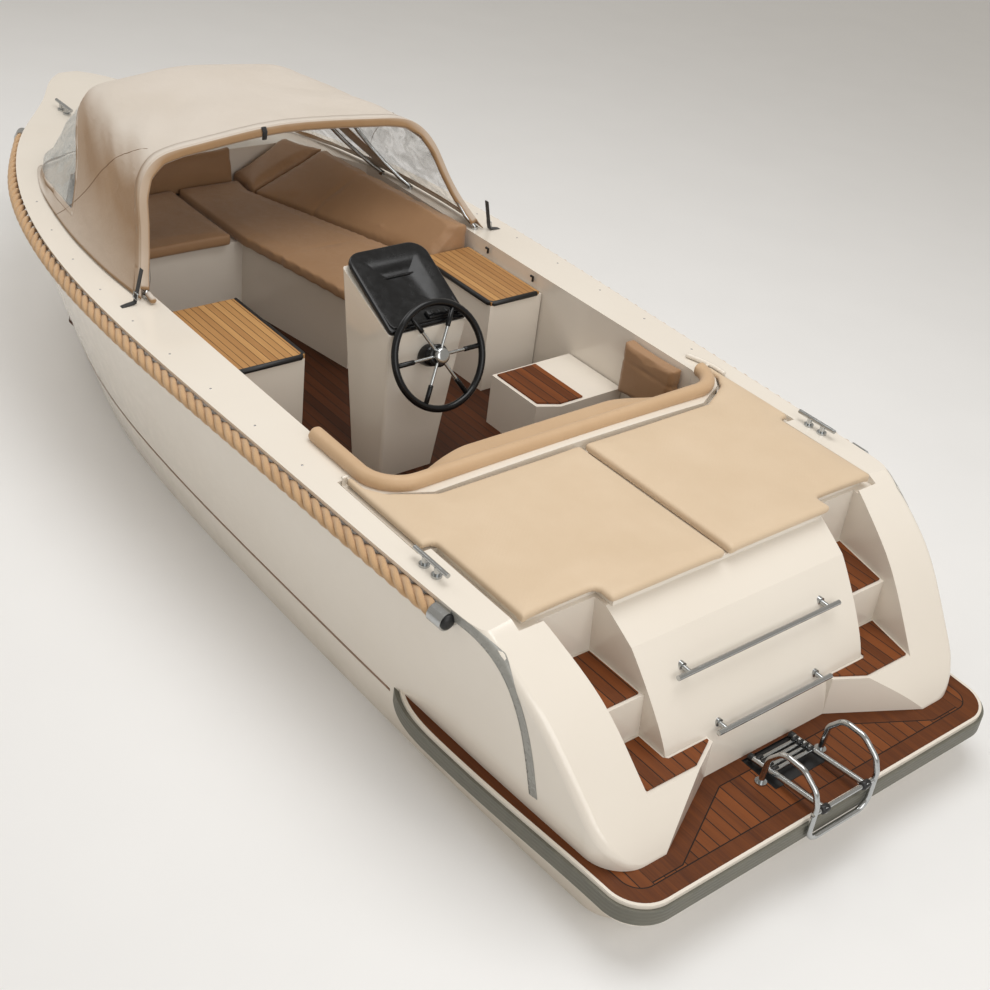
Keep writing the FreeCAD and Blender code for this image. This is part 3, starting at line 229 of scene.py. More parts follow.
def teak(name, light, dark, plank, seam, border=None, line="#1c130c"):
    """Planked wood along the boat; border gives the distances to the edge that a border plank follows."""
    made, tree, shader, place = finish(name)
    x = add(tree, "SeparateXYZ", {0: place}, 0)
    y = add(tree, "SeparateXYZ", {0: place}, 1)
    count = add(tree, "Math", {0: y, 1: plank}, operation="DIVIDE")
    number = add(tree, "Math", {0: count}, operation="FLOOR")
    within = add(tree, "Math", {0: add(tree, "Math", {0: count}, operation="FRACT"), 1: 0.5}, operation="SUBTRACT")
    within = add(tree, "Math", {0: within}, operation="ABSOLUTE")
    caulk = add(tree, "MapRange", {0: within, 1: 0.5 - seam / plank / 2 - 0.01, 2: 0.5 - seam / plank / 2 + 0.01,
                                   3: 0.0, 4: 1.0})
    tone = add(tree, "TexWhiteNoise", {"W": number}, noise_dimensions="1D")
    long_grain = add(tree, "CombineXYZ", {0: add(tree, "Math", {0: x, 1: 0.04}, operation="MULTIPLY"), 1: y, 2: number})
    if border:
        edge = border(tree, x, y)
        inside = add(tree, "MapRange", {0: edge, 1: BORDER, 2: BORDER + 0.0005, 3: 0.0, 4: 1.0})
        caulk = add(tree, "Math", {0: caulk, 1: inside}, operation="MULTIPLY")
        far = add(tree, "Math", {0: edge, 1: BORDER}, operation="SUBTRACT")
        far = add(tree, "Math", {0: far}, operation="ABSOLUTE")
        ring = add(tree, "MapRange", {0: far, 1: seam * 0.75, 2: seam * 0.4, 3: 0.0, 4: 1.0})
        caulk = add(tree, "Math", {0: caulk, 1: ring}, operation="MAXIMUM")
        tone = add(tree, "Math", {0: tone, 1: inside}, operation="MULTIPLY")
    grain = add(tree, "TexNoise", {"Vector": long_grain, "Scale": 110.0, "Detail": 6.0, "Roughness": 0.65})
    figure = add(tree, "TexNoise", {"Vector": long_grain, "Scale": 18.0, "Detail": 3.0})
    shade = add(tree, "Math", {0: grain, 1: figure}, operation="ADD")
    shade = add(tree, "Math", {0: shade, 1: add(tree, "Math", {0: tone, 1: 0.7}, operation="MULTIPLY")},
                operation="ADD")
    shade = add(tree, "MapRange", {0: shade, 1: 0.6, 2: 1.9, 3: 0.0, 4: 1.0})
    wood = add(tree, "Mix", {"Factor": shade, 6: colour(dark), 7: colour(light)}, 2, data_type="RGBA")
    wood = add(tree, "Mix", {"Factor": caulk, 6: wood, 7: colour(line)}, 2, data_type="RGBA")
    relief = add(tree, "Math", {0: add(tree, "Math", {0: grain, 1: 0.3}, operation="MULTIPLY"), 1: caulk},
                 operation="SUBTRACT")
    join(tree, shader, {
        "Base Color": wood,
        "Roughness": add(tree, "MapRange", {0: grain, 1: 0.3, 2: 0.7, 3: 0.46, 4: 0.64}), "Specular IOR Level": 0.22,
        "Normal": add(tree, "Bump", {"Height": relief, "Strength": 0.5, "Distance": 0.0012})})
    return made


def platform_edge(tree, x, y):
    """Distance in metres to the rounded outer edge or to the risers, whichever is less."""
    wide = add(tree, "Math", {0: y}, operation="ABSOLUTE")
    from_stern = add(tree, "Math", {0: x, 1: 3.034}, operation="ADD")
    taper = add(tree, "MapRange", {0: x, 1: -3.0, 2: -2.3, 3: 0.939, 4: 0.985})
    from_side = add(tree, "Math", {0: taper, 1: wide}, operation="SUBTRACT")
    corner = 0.134
    a = add(tree, "Math", {0: add(tree, "Math", {0: corner, 1: from_stern}, operation="SUBTRACT"), 1: 0.0},
            operation="MAXIMUM")
    b = add(tree, "Math", {0: add(tree, "Math", {0: corner, 1: from_side}, operation="SUBTRACT"), 1: 0.0},
            operation="MAXIMUM")
    square = add(tree, "Math", {0: add(tree, "Math", {0: a, 1: a}, operation="MULTIPLY"),
                                1: add(tree, "Math", {0: b, 1: b}, operation="MULTIPLY")}, operation="ADD")
    outer = add(tree, "Math", {0: corner, 1: add(tree, "Math", {0: square}, operation="SQRT")}, operation="SUBTRACT")
    middle = add(tree, "Math", {0: -2.71, 1: x}, operation="SUBTRACT")
    slant = add(tree, "Math", {0: add(tree, "Math", {0: middle, 1: 0.887}, operation="MULTIPLY"),
                               1: add(tree, "Math", {0: add(tree, "Math", {0: wide, 1: 0.315}, operation="SUBTRACT"),
                                                     1: 0.462}, operation="MULTIPLY")}, operation="SUBTRACT")
    bay = add(tree, "Math", {0: middle, 1: slant}, operation="MINIMUM")
    end = add(tree, "Math", {0: -2.90, 1: x}, operation="SUBTRACT")
    riser = add(tree, "Math", {0: bay, 1: end}, operation="MAXIMUM")
    beside = add(tree, "Math", {0: wide, 1: 0.80}, operation="GREATER_THAN")
    riser = add(tree, "Math", {0: riser, 1: beside}, operation="ADD")
    return add(tree, "Math", {0: outer, 1: riser}, operation="MINIMUM")


paint(teak("teak_platform", "#844920", "#46220d", PLANK, SEAM, platform_edge), "platform_teak")
teak_deck = teak("teak_deck", "#84481f", "#46220d", PLANK, SEAM)
paint(teak_deck, "step_teak_low", "step_teak_high", "helm_tread")
paint(teak("teak_sole", "#512a12", "#2b1407", PLANK, SEAM), "cockpit_sole")


# Locker lids: light oiled slats 34 mm wide on a panel, with a black rubber edging strip
# on the inner and aft edges, and two small pegs that hold the starboard lid.

paint(teak("light_slats", "#c2955f", "#976b40", 0.034, 0.003, line="#53391f"), "locker_lid_port", "locker_lid_stbd")

black_rubber, tree, shader, place = finish("black_rubber")
dust = add(tree, "TexNoise", {"Vector": place, "Scale": 60.0, "Detail": 5.0})
pores = add(tree, "TexNoise", {"Vector": place, "Scale": 900.0, "Detail": 2.0})
join(tree, shader, {
    "Base Color": add(tree, "Mix", {"Factor": dust, 6: colour("#0f0f10"), 7: colour("#1c1c1d")}, 2, data_type="RGBA"),
    "Roughness": add(tree, "MapRange", {0: dust, 1: 0.3, 2: 0.7, 3: 0.38, 4: 0.52}),
    "Normal": add(tree, "Bump", {"Height": pores, "Strength": 0.2, "Distance": 0.0003})})


def outward(data):
    """Turns all faces of a closed mesh outward."""
    mesh = bmesh.new()
    mesh.from_mesh(data)
    bmesh.ops.recalc_face_normals(mesh, faces=mesh.faces)
    mesh.to_mesh(data)
    mesh.free()


def tube(name, line, radius, made, body="hull", sides=10, flat=1.0, count=None, closed=False):
    """A round or flattened bar along a line, with rounded ends."""
    path = [Vector(point) for point in (through(line, count) if count else line)]
    points, faces = [], []
    last = len(path) - 1
    side = None
    for i, spot in enumerate(path):
        ahead = path[(i + 1) % len(path)] if closed else path[min(i + 1, last)]
        back = path[i - 1] if closed else path[max(i - 1, 0)]
        run = (ahead - back).normalized()
        if side is None:
            side = run.cross(Vector((0, 0, 1)))
            side = side if side.length > 0.1 else run.cross(Vector((0, 1, 0)))
        side = (side - run * side.dot(run)).normalized()
        up = side.cross(run)
        for k in range(sides):
            turn = 2 * math.pi * k / sides
            points.append(spot + side * (radius * math.cos(turn)) + up * (radius * flat * math.sin(turn)))
    for i in range(len(path) if closed else last):
        j = (i + 1) % len(path)
        for k in range(sides):
            m = (k + 1) % sides
            faces.append((i * sides + k, j * sides + k, j * sides + m, i * sides + m))
    if not closed:
        for ring, spot, way in ((0, path[0], path[0] - path[1]), (last, path[-1], path[-1] - path[-2])):
            way.normalize()
            base = len(points)
            for k in range(sides):
                edge = points[ring * sides + k]
                points.append(spot + (edge - spot) * 0.6 + way * radius * flat * 0.3)
            points.append(spot + way * radius * flat * 0.36)
            for k in range(sides):
                m = (k + 1) % sides
                quad = (ring * sides + k, base + k, base + m, ring * sides + m)
                tip = (base + k, base + sides, base + m)
                faces.append(quad if ring else quad[::-1])
                faces.append(tip if ring else tip[::-1])
    item = piece(name, points, faces, made, body)
    outward(item.data)
    return item


for name, body, sign in (("locker_lid_port", "port_locker_lid", 1), ("locker_lid_stbd", "starboard_locker_lid", -1)):
    (x0, y0, z0), (x1, y1, z1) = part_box(name)
    inner = y0 if sign > 0 else y1
    outer = y1 - 0.02 if sign > 0 else y0 + 0.02
    middle = (z0 + z1) / 2
    tube(name + "_edging", [(x1 - 0.002, inner, middle), (x0 + 0.02, inner, middle),
                            (x0, inner + sign * 0.02, middle), (x0, outer, middle)],
         0.0125, black_rubber, body, sides=14)
for x in (-0.23, 0.12):
    tube("lid_peg_%d" % (x > 0), [(x, -0.85, 0.83), (x, -0.85, 0.852), (x, -0.835, 0.862)], 0.006, black_rubber,
         sides=12)


# Bright metal: grab rails, ladder, hoops, cleats, rope caps, hood tubes, spokes and shaft.
# It is stainless steel tube and casting, polished after welding, with faint wiping haze.

stainless, tree, shader, place = finish("polished_stainless")
haze = add(tree, "TexNoise", {"Vector": place, "Scale": 40.0, "Detail": 5.0})
streaks = add(tree, "TexNoise", {"Vector": add(tree, "Mapping", {"Vector": place, "Scale": (60.0, 60.0, 900.0)}),
                                 "Scale": 1.0, "Detail": 2.0})
join(tree, shader, {
    "Base Color": add(tree, "Mix", {"Factor": haze, 6: colour("#c4c6c7"), 7: colour("#aeb1b2")}, 2, data_type="RGBA"),
    "Metallic": 1.0,
    "Roughness": add(tree, "MapRange", {0: haze, 1: 0.3, 2: 0.7, 3: 0.1, 4: 0.24}),
    "Normal": add(tree, "Bump", {"Height": streaks, "Strength": 0.03, "Distance": 0.0002})})
paint(stainless, "grab_rails", "ladder", "ladder_hoops", "fender_caps", "cleats", "hood_frame", "wheel_spokes",
      "steering_shaft", "throttle", "bow_eye")


# Rope fender: three-strand laid rope 62 mm thick in the groove under the gunwale of each side.
# The strands are tan spun fibre with a 198 mm lay, and end in steel caps with black plugs.

GUNWALE = [(0.0, 0.895, 0.995), (0.15, 0.945, 0.995), (0.32, 0.975, 0.997), (0.49, 1.0, 1.0), (0.605, 0.98, 1.006),
           (0.705, 0.9, 1.014), (0.805, 0.73, 1.026), (0.89, 0.475, 1.036), (0.95, 0.245, 1.044), (0.985, 0.13, 1.05),
           (1.0, 0.05, 1.052)]
DECK_AFT, DECK_LONG, HALF_BEAM, DECK_HIGH = -2.9, 5.93, 1.1, 0.87
ROPE_START, ROPE_END, ROPE_OUT, ROPE_DROP = 0.145, 0.872, 0.015, 0.044
STEP = 1 / 81


def gunwale(along):
    """Half beam and height of the sheer at places along the hull."""
    table = numpy.array(GUNWALE)
    rows = spline(table[:, 1:], table[:, 0], along)
    return rows[:, 0] * HALF_BEAM, rows[:, 1] * DECK_HIGH


stops = numpy.linspace(ROPE_START, ROPE_END, 9)
beam, sheer = gunwale(stops)
next_beam, _ = gunwale(stops + STEP)
normals = numpy.stack([beam - next_beam, numpy.full(9, DECK_LONG * STEP)], axis=1)
normals /= numpy.linalg.norm(normals, axis=1)[:, None]
rope_route = numpy.stack([DECK_AFT + stops * DECK_LONG + normals[:, 0] * ROPE_OUT,
                          beam + normals[:, 1] * ROPE_OUT, sheer - ROPE_DROP], axis=1)
rope_line = through(rope_route, 440)
rope_length = 4.37
LAY, STRAND_R, STRAND_OFF, AROUND = 0.198, 0.0152, 0.0155, 12
points, faces, corners = [], [], []
for sign in (1, -1):
    line = rope_line * numpy.array([1, sign, 1])
    run = numpy.gradient(line, axis=0)
    run /= numpy.linalg.norm(run, axis=1)[:, None]
    out = numpy.cross(run, [0, 0, 1])
    out /= numpy.linalg.norm(out, axis=1)[:, None]
    up = numpy.cross(out, run)
    reach = numpy.linspace(0, rope_length, len(line))
    for strand in range(3):
        base = len(points)
        turn = -2 * math.pi * (reach / LAY + strand / 3)
        for i in range(len(line)):
            centre = line[i] + STRAND_OFF * (math.cos(turn[i]) * out[i] + math.sin(turn[i]) * up[i])
            for k in range(AROUND):
                a = 2 * math.pi * k / AROUND + turn[i]
                points.append(centre + STRAND_R * (math.cos(a) * out[i] + math.sin(a) * up[i]))
        for i in range(len(line) - 1):
            for k in range(AROUND):
                m = (k + 1) % AROUND
                a, b = base + i * AROUND, base + (i + 1) * AROUND
                faces.append((a + k, a + m, b + m, b + k))
                low, high = reach[i] / LAY, reach[i + 1] / LAY
                corners += [(low, k / AROUND), (low, (k + 1) / AROUND), (high, (k + 1) / AROUND), (high, k / AROUND)]
        for start, flip in ((base, True), (base + (len(line) - 1) * AROUND, False)):
            ring = tuple(start + k for k in range(AROUND))
            faces.append(ring if flip else ring[::-1])
            corners += [(0.0, 0.0)] * AROUND
YARNS = 14.0
rope_fibre, tree, shader, place = finish("laid_rope_fibre")
lay = add(tree, "SeparateXYZ", {0: add(tree, "TexCoord", out=2)}, 0)
around = add(tree, "SeparateXYZ", {0: add(tree, "TexCoord", out=2)}, 1)
twist = add(tree, "Math", {0: add(tree, "Math", {0: lay, 1: 5.0}, operation="MULTIPLY"), 1: around}, operation="ADD")
yarn = add(tree, "Math", {0: twist, 1: YARNS * 2 * math.pi}, operation="MULTIPLY")
yarn = add(tree, "Math", {0: yarn}, operation="SINE")
fuzz = add(tree, "TexNoise", {"Vector": place, "Scale": 350.0, "Detail": 4.0})
soil = add(tree, "TexNoise", {"Vector": place, "Scale": 7.0, "Detail": 4.0})
shade = add(tree, "Math", {0: add(tree, "Math", {0: yarn, 1: 0.12}, operation="MULTIPLY"), 1: fuzz}, operation="ADD")
tone = add(tree, "Mix", {"Factor": shade, 6: colour("#b48a5c"), 7: colour("#e2c096")}, 2, data_type="RGBA")
tone = add(tree, "Mix", {"Factor": add(tree, "MapRange", {0: soil, 1: 0.5, 2: 0.8, 3: 0.0, 4: 0.35}), 6: tone,
                         7: colour("#a8835a")}, 2, data_type="RGBA")
join(tree, shader, {"Base Color": tone, "Roughness": add(tree, "MapRange", {0: fuzz, 1: 0.3, 2: 0.7, 3: 0.75, 4: 0.92}),
                    "Sheen Weight": 0.3,
                    "Normal": add(tree, "Bump", {"Height": add(tree, "Math", {0: yarn, 1: fuzz}, operation="ADD"),
                                                 "Strength": 0.45, "Distance": 0.0012})})
rope = piece("rope_strands", points, faces, rope_fibre)
layer = rope.data.uv_layers.new(name="lay")
layer.data.foreach_set("uv", [value for corner in corners for value in corner])
outward(rope.data)
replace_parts(rope, "rope_fender")
for sign in (1, -1):
    for spot, ahead, name in ((rope_line[0], rope_line[1], "aft"), (rope_line[-1], rope_line[-2], "fore")):
        run = Vector((spot - ahead) * [1, sign, 1]).normalized()
        end = Vector(spot * [1, sign, 1]) + run * 0.0705
        tube("rope_plug_%s_%s" % (name, "port" if sign > 0 else "stbd"), [end - run * 0.002, end + run * 0.004], 0.029,
             black_rubber, sides=24)


# Platform band: a grey olive rubber section round the edge under the white rim.
# It is extruded, so it has a lengthwise rib, and it is scuffed where boats lie against it.

RIB_SPACING = 0.0155
band_rubber, tree, shader, place = finish("extruded_band_rubber")
height = add(tree, "SeparateXYZ", {0: place}, 2)
rub = add(tree, "TexNoise", {"Vector": place, "Scale": 14.0, "Detail": 6.0})
rib = add(tree, "Math", {0: height, 1: 2 * math.pi / RIB_SPACING}, operation="MULTIPLY")
rib = add(tree, "Math", {0: rib}, operation="SINE")
join(tree, shader, {
    "Base Color": add(tree, "Mix", {"Factor": rub, 6: colour("#55544a"), 7: colour("#77756a")}, 2, data_type="RGBA"),
    "Roughness": add(tree, "MapRange", {0: rub, 1: 0.3, 2: 0.7, 3: 0.4, 4: 0.6}),
    "Normal": add(tree, "Bump", {"Height": rib, "Strength": 0.35, "Distance": 0.0012})})
paint(band_rubber, "platform_band")


# Ladder recess: a black moulded tray let into the platform under the folded ladder.
# The ladder's nested treads show as small black toothed blocks, and its tubes have black plugs.

x0, x1, half, rim_z, floor_z = -2.8885, -2.7235, 0.1365, 0.2505, 0.2432
points = [(x, y, z) for z in (rim_z, floor_z) for x, y in ((x0, -half), (x1, -half), (x1, half), (x0, half))]
faces = [(0, 1, 5, 4), (1, 2, 6, 5), (2, 3, 7, 6), (3, 0, 4, 7), (4, 5, 6, 7)]
tray = piece("ladder_tray", points, faces, black_rubber, smooth=False)
thicken(tray, 0.0012, 0.0)
TUBE_APART, TUBE_TIP, TUBE_PIVOT = 0.108, Vector((-2.738, 0, 0.264)), Vector((-3.072, 0, 0.300))
stub_run = (TUBE_TIP - TUBE_PIVOT).normalized()
for sign in (1, -1):
    aside = Vector((0, sign * TUBE_APART, 0))
    tip, pivot = TUBE_TIP + aside, TUBE_PIVOT + aside
    side_name = "port" if sign > 0 else "stbd"
    tube("ladder_plug_" + side_name, [tip - stub_run * 0.012, tip + stub_run * 0.006], 0.0145, black_rubber,
         "swim_ladder", sides=16)
    tube("ladder_knuckle_" + side_name, [pivot - Vector((0, 0.016, 0)), pivot + Vector((0, 0.016, 0))], 0.0155,
         black_rubber, "swim_ladder", sides=16)
    for i in range(4):
        spot = tip - stub_run * (0.026 + 0.024 * i) + Vector((0, 0, 0.010))
        tube("tread_end_%s_%d" % (side_name, i), [spot, spot - Vector((0, sign * 0.028, 0))], 0.0075, black_rubber,
             "swim_ladder", sides=10, flat=0.8)


# Cushions: foam in sewn vinyl. Sunpads lie on the hatch lid, seats and backs in the cockpit,
# and a stuffed roll runs round the aft edge. The foam presses the cover out between seams.

def vinyl(name, light, dark, rib=0.0):
    """Soft vinyl cover with a fine grain; rib is the spacing of its pressed diagonal lines."""
    made, tree, shader, place = finish(name)
    cloud = add(tree, "TexNoise", {"Vector": place, "Scale": 5.0, "Detail": 4.0})
    grain = add(tree, "TexVoronoi", {"Vector": place, "Scale": 700.0})
    creases = add(tree, "TexNoise", {"Vector": place, "Scale": 26.0, "Detail": 5.0, "Distortion": 0.8})
    relief = add(tree, "Math", {0: add(tree, "Math", {0: grain, 1: 0.25}, operation="MULTIPLY"),
                                1: add(tree, "Math", {0: creases, 1: 0.9}, operation="MULTIPLY")}, operation="ADD")
    if rib:
        skew = add(tree, "VectorMath", {0: place, 1: (1.0, 0.85, 0.0)}, 1, operation="DOT_PRODUCT")
        lines = add(tree, "Math", {0: add(tree, "Math", {0: skew, 1: 2 * math.pi / rib}, operation="MULTIPLY")},
                    operation="SINE")
        relief = add(tree, "Math", {0: relief, 1: add(tree, "Math", {0: lines, 1: 0.09}, operation="MULTIPLY")},
                     operation="ADD")
    join(tree, shader, {
        "Base Color": add(tree, "Mix", {"Factor": cloud, 6: colour(light), 7: colour(dark)}, 2, data_type="RGBA"),
        "Roughness": add(tree, "MapRange", {0: creases, 1: 0.3, 2: 0.7, 3: 0.45, 4: 0.62}),
        "Sheen Weight": 0.15,
        "Normal": add(tree, "Bump", {"Height": relief, "Strength": 0.28, "Distance": 0.0016})})
    return made


sunpad_vinyl = vinyl("ribbed_sunpad_vinyl", "#d8c2a6", "#cdb596", 0.018)
# The seat and backrest vinyl is tan, and its colour is also darkened by painted shade from the hood over the seats, so
# it reads darker than the roll's.
seat_vinyl_with_painted_shade = vinyl("tan_seat_vinyl", "#a88360", "#967250")
roll_vinyl = vinyl("tan_roll_vinyl", "#cdae8a", "#be9d78")
thread, tree, shader, place = finish("seam_thread")
ply = add(tree, "TexNoise", {"Vector": place, "Scale": 500.0, "Detail": 2.0})
join(tree, shader, {
    "Base Color": add(tree, "Mix", {"Factor": ply, 6: colour("#6f553c"), 7: colour("#8c6d50")}, 2, data_type="RGBA"),
    "Roughness": add(tree, "MapRange", {0: ply, 1: 0.3, 2: 0.7, 3: 0.7, 4: 0.85})})


def stuffed(node, name, made, body="hull", voxel=0.013, shrink=0.005, cap=0.010, pick=None, channels=(),
            taper=None):
    """A cushion grown by cloth pressure from the solid of a CAD node, one solid of it or a given block."""
    mesh = bmesh.new()
    mesh.from_mesh(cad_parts[node].data if isinstance(node, str) else node)
    bmesh.ops.remove_doubles(mesh, verts=mesh.verts, dist=0.0001)
    if pick:
        bmesh.ops.delete(mesh, geom=[v for v in mesh.verts if not pick(v.co)], context="VERTS")
    bmesh.ops.recalc_face_normals(mesh, faces=mesh.faces)
    mesh.normal_update()
    low = Vector(min(v.co[k] for v in mesh.verts) for k in range(3))
    high = Vector(max(v.co[k] for v in mesh.verts) for k in range(3))
    for vert in mesh.verts:
        vert.co -= vert.normal * shrink
    data = bpy.data.meshes.new(name)
    mesh.to_mesh(data)
    mesh.free()
    item = bpy.data.objects.new(name, data)
    bpy.context.scene.collection.objects.link(item)
    remesh = item.modifiers.new("remesh", "REMESH")
    remesh.mode = "VOXEL"
    remesh.voxel_size = voxel
    even = bpy.data.meshes.new_from_object(item.evaluated_get(bpy.context.evaluated_depsgraph_get()))
    item.modifiers.clear()
    item.data = even
    start = numpy.array([v.co[:] for v in even.vertices])
    end = start.copy()
    cloth = item.modifiers.new("cloth", "CLOTH")
    cloth.settings.use_pressure = True
    cloth.settings.uniform_pressure_force = 4.0
    cloth.settings.effector_weights.gravity = 0.0
    for number in range(1, 21):
        bpy.context.scene.frame_set(number)
    blown = item.evaluated_get(bpy.context.evaluated_depsgraph_get()).to_mesh()
    end = numpy.array([v.co[:] for v in blown.vertices])
    item.modifiers.clear()
    bpy.context.scene.frame_set(1)
    move = end - start
    move -= move.mean(axis=0)
    far = numpy.linalg.norm(move, axis=1)
    move *= (numpy.minimum(far, cap) / numpy.maximum(far, 1e-9))[:, None]
    done = numpy.clip(start + move, numpy.array(low) + 0.0004, numpy.array(high) + 0.004)
    for axis, place, depth, wide in channels:
        off = done[:, axis] - place
        centre = (numpy.array(low) + numpy.array(high)) / 2
        inward = centre - done
        inward[:, axis] = 0
        inward /= numpy.maximum(numpy.linalg.norm(inward, axis=1), 1e-6)[:, None]
        done += inward * (depth * numpy.exp(-(off / wide) ** 2))[:, None]
    if taper:
        done = taper(done)
    even.vertices.foreach_set("co", done.ravel())
    even.polygons.foreach_set("use_smooth", [True] * len(even.polygons))
    even.materials.append(made)
    smooth = item.modifiers.new("smooth", "SUBSURF")
    smooth.levels = smooth.render_levels = 1
    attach(item, body)
    return item


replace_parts(stuffed("sunpad_port", "pad_port", sunpad_vinyl, "stern_hatch"), "sunpad_port")
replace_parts(stuffed("sunpad_stbd", "pad_stbd", sunpad_vinyl, "stern_hatch"), "sunpad_stbd")
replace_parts(stuffed("seat_cushion_side", "side_seat", seat_vinyl_with_painted_shade, voxel=0.016, cap=0.014, shrink=0.008,
                    channels=[(0, 0.62, 0.006, 0.012)]), "seat_cushion_side")
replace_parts(stuffed("seat_cushion_front", "front_seat", seat_vinyl_with_painted_shade, voxel=0.016, cap=0.014, shrink=0.008),
            "seat_cushion_front")
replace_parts(stuffed("backrest_side", "side_back", seat_vinyl_with_painted_shade, voxel=0.016, cap=0.012, shrink=0.006,
                    channels=[(0, 0.64, 0.007, 0.012), (0, 1.02, 0.007, 0.012)]), "backrest_side")
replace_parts(stuffed("backrest_front", "front_back", seat_vinyl_with_painted_shade, voxel=0.016, cap=0.012, shrink=0.006,
                    channels=[(1, 0.2, 0.007, 0.012)]), "backrest_front")
corner = [(x, y, z) for x, ends in ((1.404, (-0.279, -0.66, -0.715)), (1.625, (-0.279, -0.56, -0.612)))
          for y, z in ((ends[0], 0.714), (ends[0], 0.775), (ends[1], 0.932), (ends[2], 0.932), (ends[2], 0.714))]
block = bpy.data.meshes.new("corner_back_block")
block.from_pydata(corner, [], [(0, 1, 2, 3, 4), (9, 8, 7, 6, 5)] + [(i, i + 5, (i + 1) % 5 + 5, (i + 1) % 5)
                                                                  for i in range(5)])
stuffed(block, "corner_back", seat_vinyl_with_painted_shade, voxel=0.016, cap=0.010, shrink=0.004)
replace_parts(stuffed("back_pad", "helm_back_pad", seat_vinyl_with_painted_shade, voxel=0.009, cap=0.010, shrink=0.006,
                    channels=[(2, 0.777, 0.005, 0.009)]), "back_pad")


def on_lean_pad(spot):
    """True on the flat pad between the roll's two ends."""
    return abs(spot.y) < 0.702 and spot.x > -1.4315


def lean_ends(points):
    """Draws the ends of the lean pad down and back under the roll, so that it grows out of it."""
    near = numpy.clip((numpy.abs(points[:, 1]) - 0.36) / 0.34, 0, 1) ** 1.6
    points[:, 2] -= near * 0.035
    points[:, 0] -= near * numpy.clip(points[:, 0] + 1.425, 0, 1) * 0.75
    return points


roll = stuffed("bolster", "bolster_roll", roll_vinyl, voxel=0.010, cap=0.004, shrink=0.0015,
               pick=lambda spot: not on_lean_pad(spot))
lean = stuffed("bolster", "lean_pad", roll_vinyl, voxel=0.013, cap=0.010, shrink=0.006,
               pick=on_lean_pad, taper=lean_ends)
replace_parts(roll, "bolster")
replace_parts(lean, "bolster")


# Spray hood: woven acrylic canvas over three steel bows, with clear vinyl windows sewn in.
# It leans forward, is hemmed round the aft opening, and is creased where the straps pull it.
# The cloth is one sheet: its arches are set out from their feet, shoulders and crowns.

HOOD_AFT, HOOD_LONG, HOOD_HALF, HOOD_BASE, HOOD_HIGH, HOOD_LIFT = 0.27, 1.81, 0.94, 0.872, 0.533, 0.009
ARCHES = [(0.0, 0.99, 0.178, 0.812, 0.86, 0.222, 1.0), (0.15, 1.003, 0.355, 0.755, 0.87, 0.4, 1.0),
          (0.3, 0.995, 0.56, 0.68, 0.865, 0.605, 0.982), (0.42, 0.975, 0.725, 0.605, 0.848, 0.775, 0.93),
          (0.59, 0.925, 0.785, 0.68, 0.5, 0.878, 0.59), (0.72, 0.862, 0.822, 0.752, 0.19, 0.95, 0.24),
          (0.8, 0.805, 0.838, 0.77, 0.02, 1.0, 0.03)]
SIDE = [(0.0, 0.0), (0.3, 0.25), (0.62, 0.56), (0.88, 0.86)]
TOP = [(0.09, 0.3), (0.3, 0.76), (0.64, 0.95), (1.0, 1.0)]
ACROSS, ALONG = 97, 61


def on_deck(x, y, z):
    """Keeps a point of the hood above the deck under it."""
    spot, _, _, _ = hull_surface.ray_cast(Vector((x, y, 1.2)), Vector((0, 0, -1)))
    return max(z, spot.z + HOOD_LIFT) if spot is not None and spot.z > 0.8 else z


def arch(row):
    """One arch of the hood from deck to deck, as evenly spaced points."""
    foot_x, foot_y, corner_x, corner_y, corner_z, crown_x, crown_z = row
    port = [(foot_x + (corner_x - foot_x) * a, foot_y + (corner_y - foot_y) * a, corner_z * h) for a, h in SIDE]
    port += [(corner_x + (crown_x - corner_x) * a, corner_y * (1 - a), corner_z + (crown_z - corner_z) * h)
             for a, h in TOP]
    port = [(HOOD_AFT + HOOD_LONG * x, HOOD_HALF * y, HOOD_BASE + HOOD_HIGH * z) for x, y, z in port]
    port = [(x, y, on_deck(x, y, z)) for x, y, z in port]
    return through(port + [(x, -y, z) for x, y, z in port[-2::-1]], ACROSS)


rows = numpy.array([arch(row) for row in ARCHES])
reach = [0.0]
for first, second in zip(rows, rows[1:]):
    reach.append(reach[-1] + numpy.linalg.norm(second - first, axis=1).mean())
reach = numpy.array(reach) / reach[-1]
cloth = spline(rows.reshape(len(rows), -1), reach, numpy.linspace(0, 1, ALONG)).reshape(ALONG, ACROSS, 3)
normal = numpy.cross(numpy.gradient(cloth, axis=0), numpy.gradient(cloth, axis=1))
normal /= numpy.linalg.norm(normal, axis=2)[:, :, None]
normal *= numpy.sign((normal[ALONG // 3, ACROSS // 2, 2]))
u = numpy.linspace(0, 1, ALONG)[:, None] * numpy.ones((1, ACROSS))
v = numpy.ones((ALONG, 1)) * numpy.linspace(-1, 1, ACROSS)[None, :]
bows = [reach[0], reach[2], reach[3]]
slack = numpy.minimum.reduce([numpy.abs(u - b) for b in bows]) / 0.12
slack = numpy.clip(slack, 0, 1) * numpy.clip((0.98 - numpy.abs(v)) / 0.1, 0, 1) * numpy.clip(u / 0.04, 0, 1)
sag = 0.004 * slack * numpy.clip(1.2 - numpy.abs(v), 0, 1)
creases = numpy.sin(34 * (u * 0.9 + numpy.abs(v) * 0.6) + 2.2 * numpy.sin(7 * v)) ** 3 * 0.0055
creases *= numpy.clip(1 - numpy.abs(numpy.abs(v) - 0.42) / 0.42, 0, 1) * numpy.clip((reach[3] - u) / 0.1, 0, 1)
puckers = numpy.sin(60 * v + 9 * u) * 0.0022 * numpy.clip(1 - numpy.abs(u - 0.03) / 0.08, 0, 1)
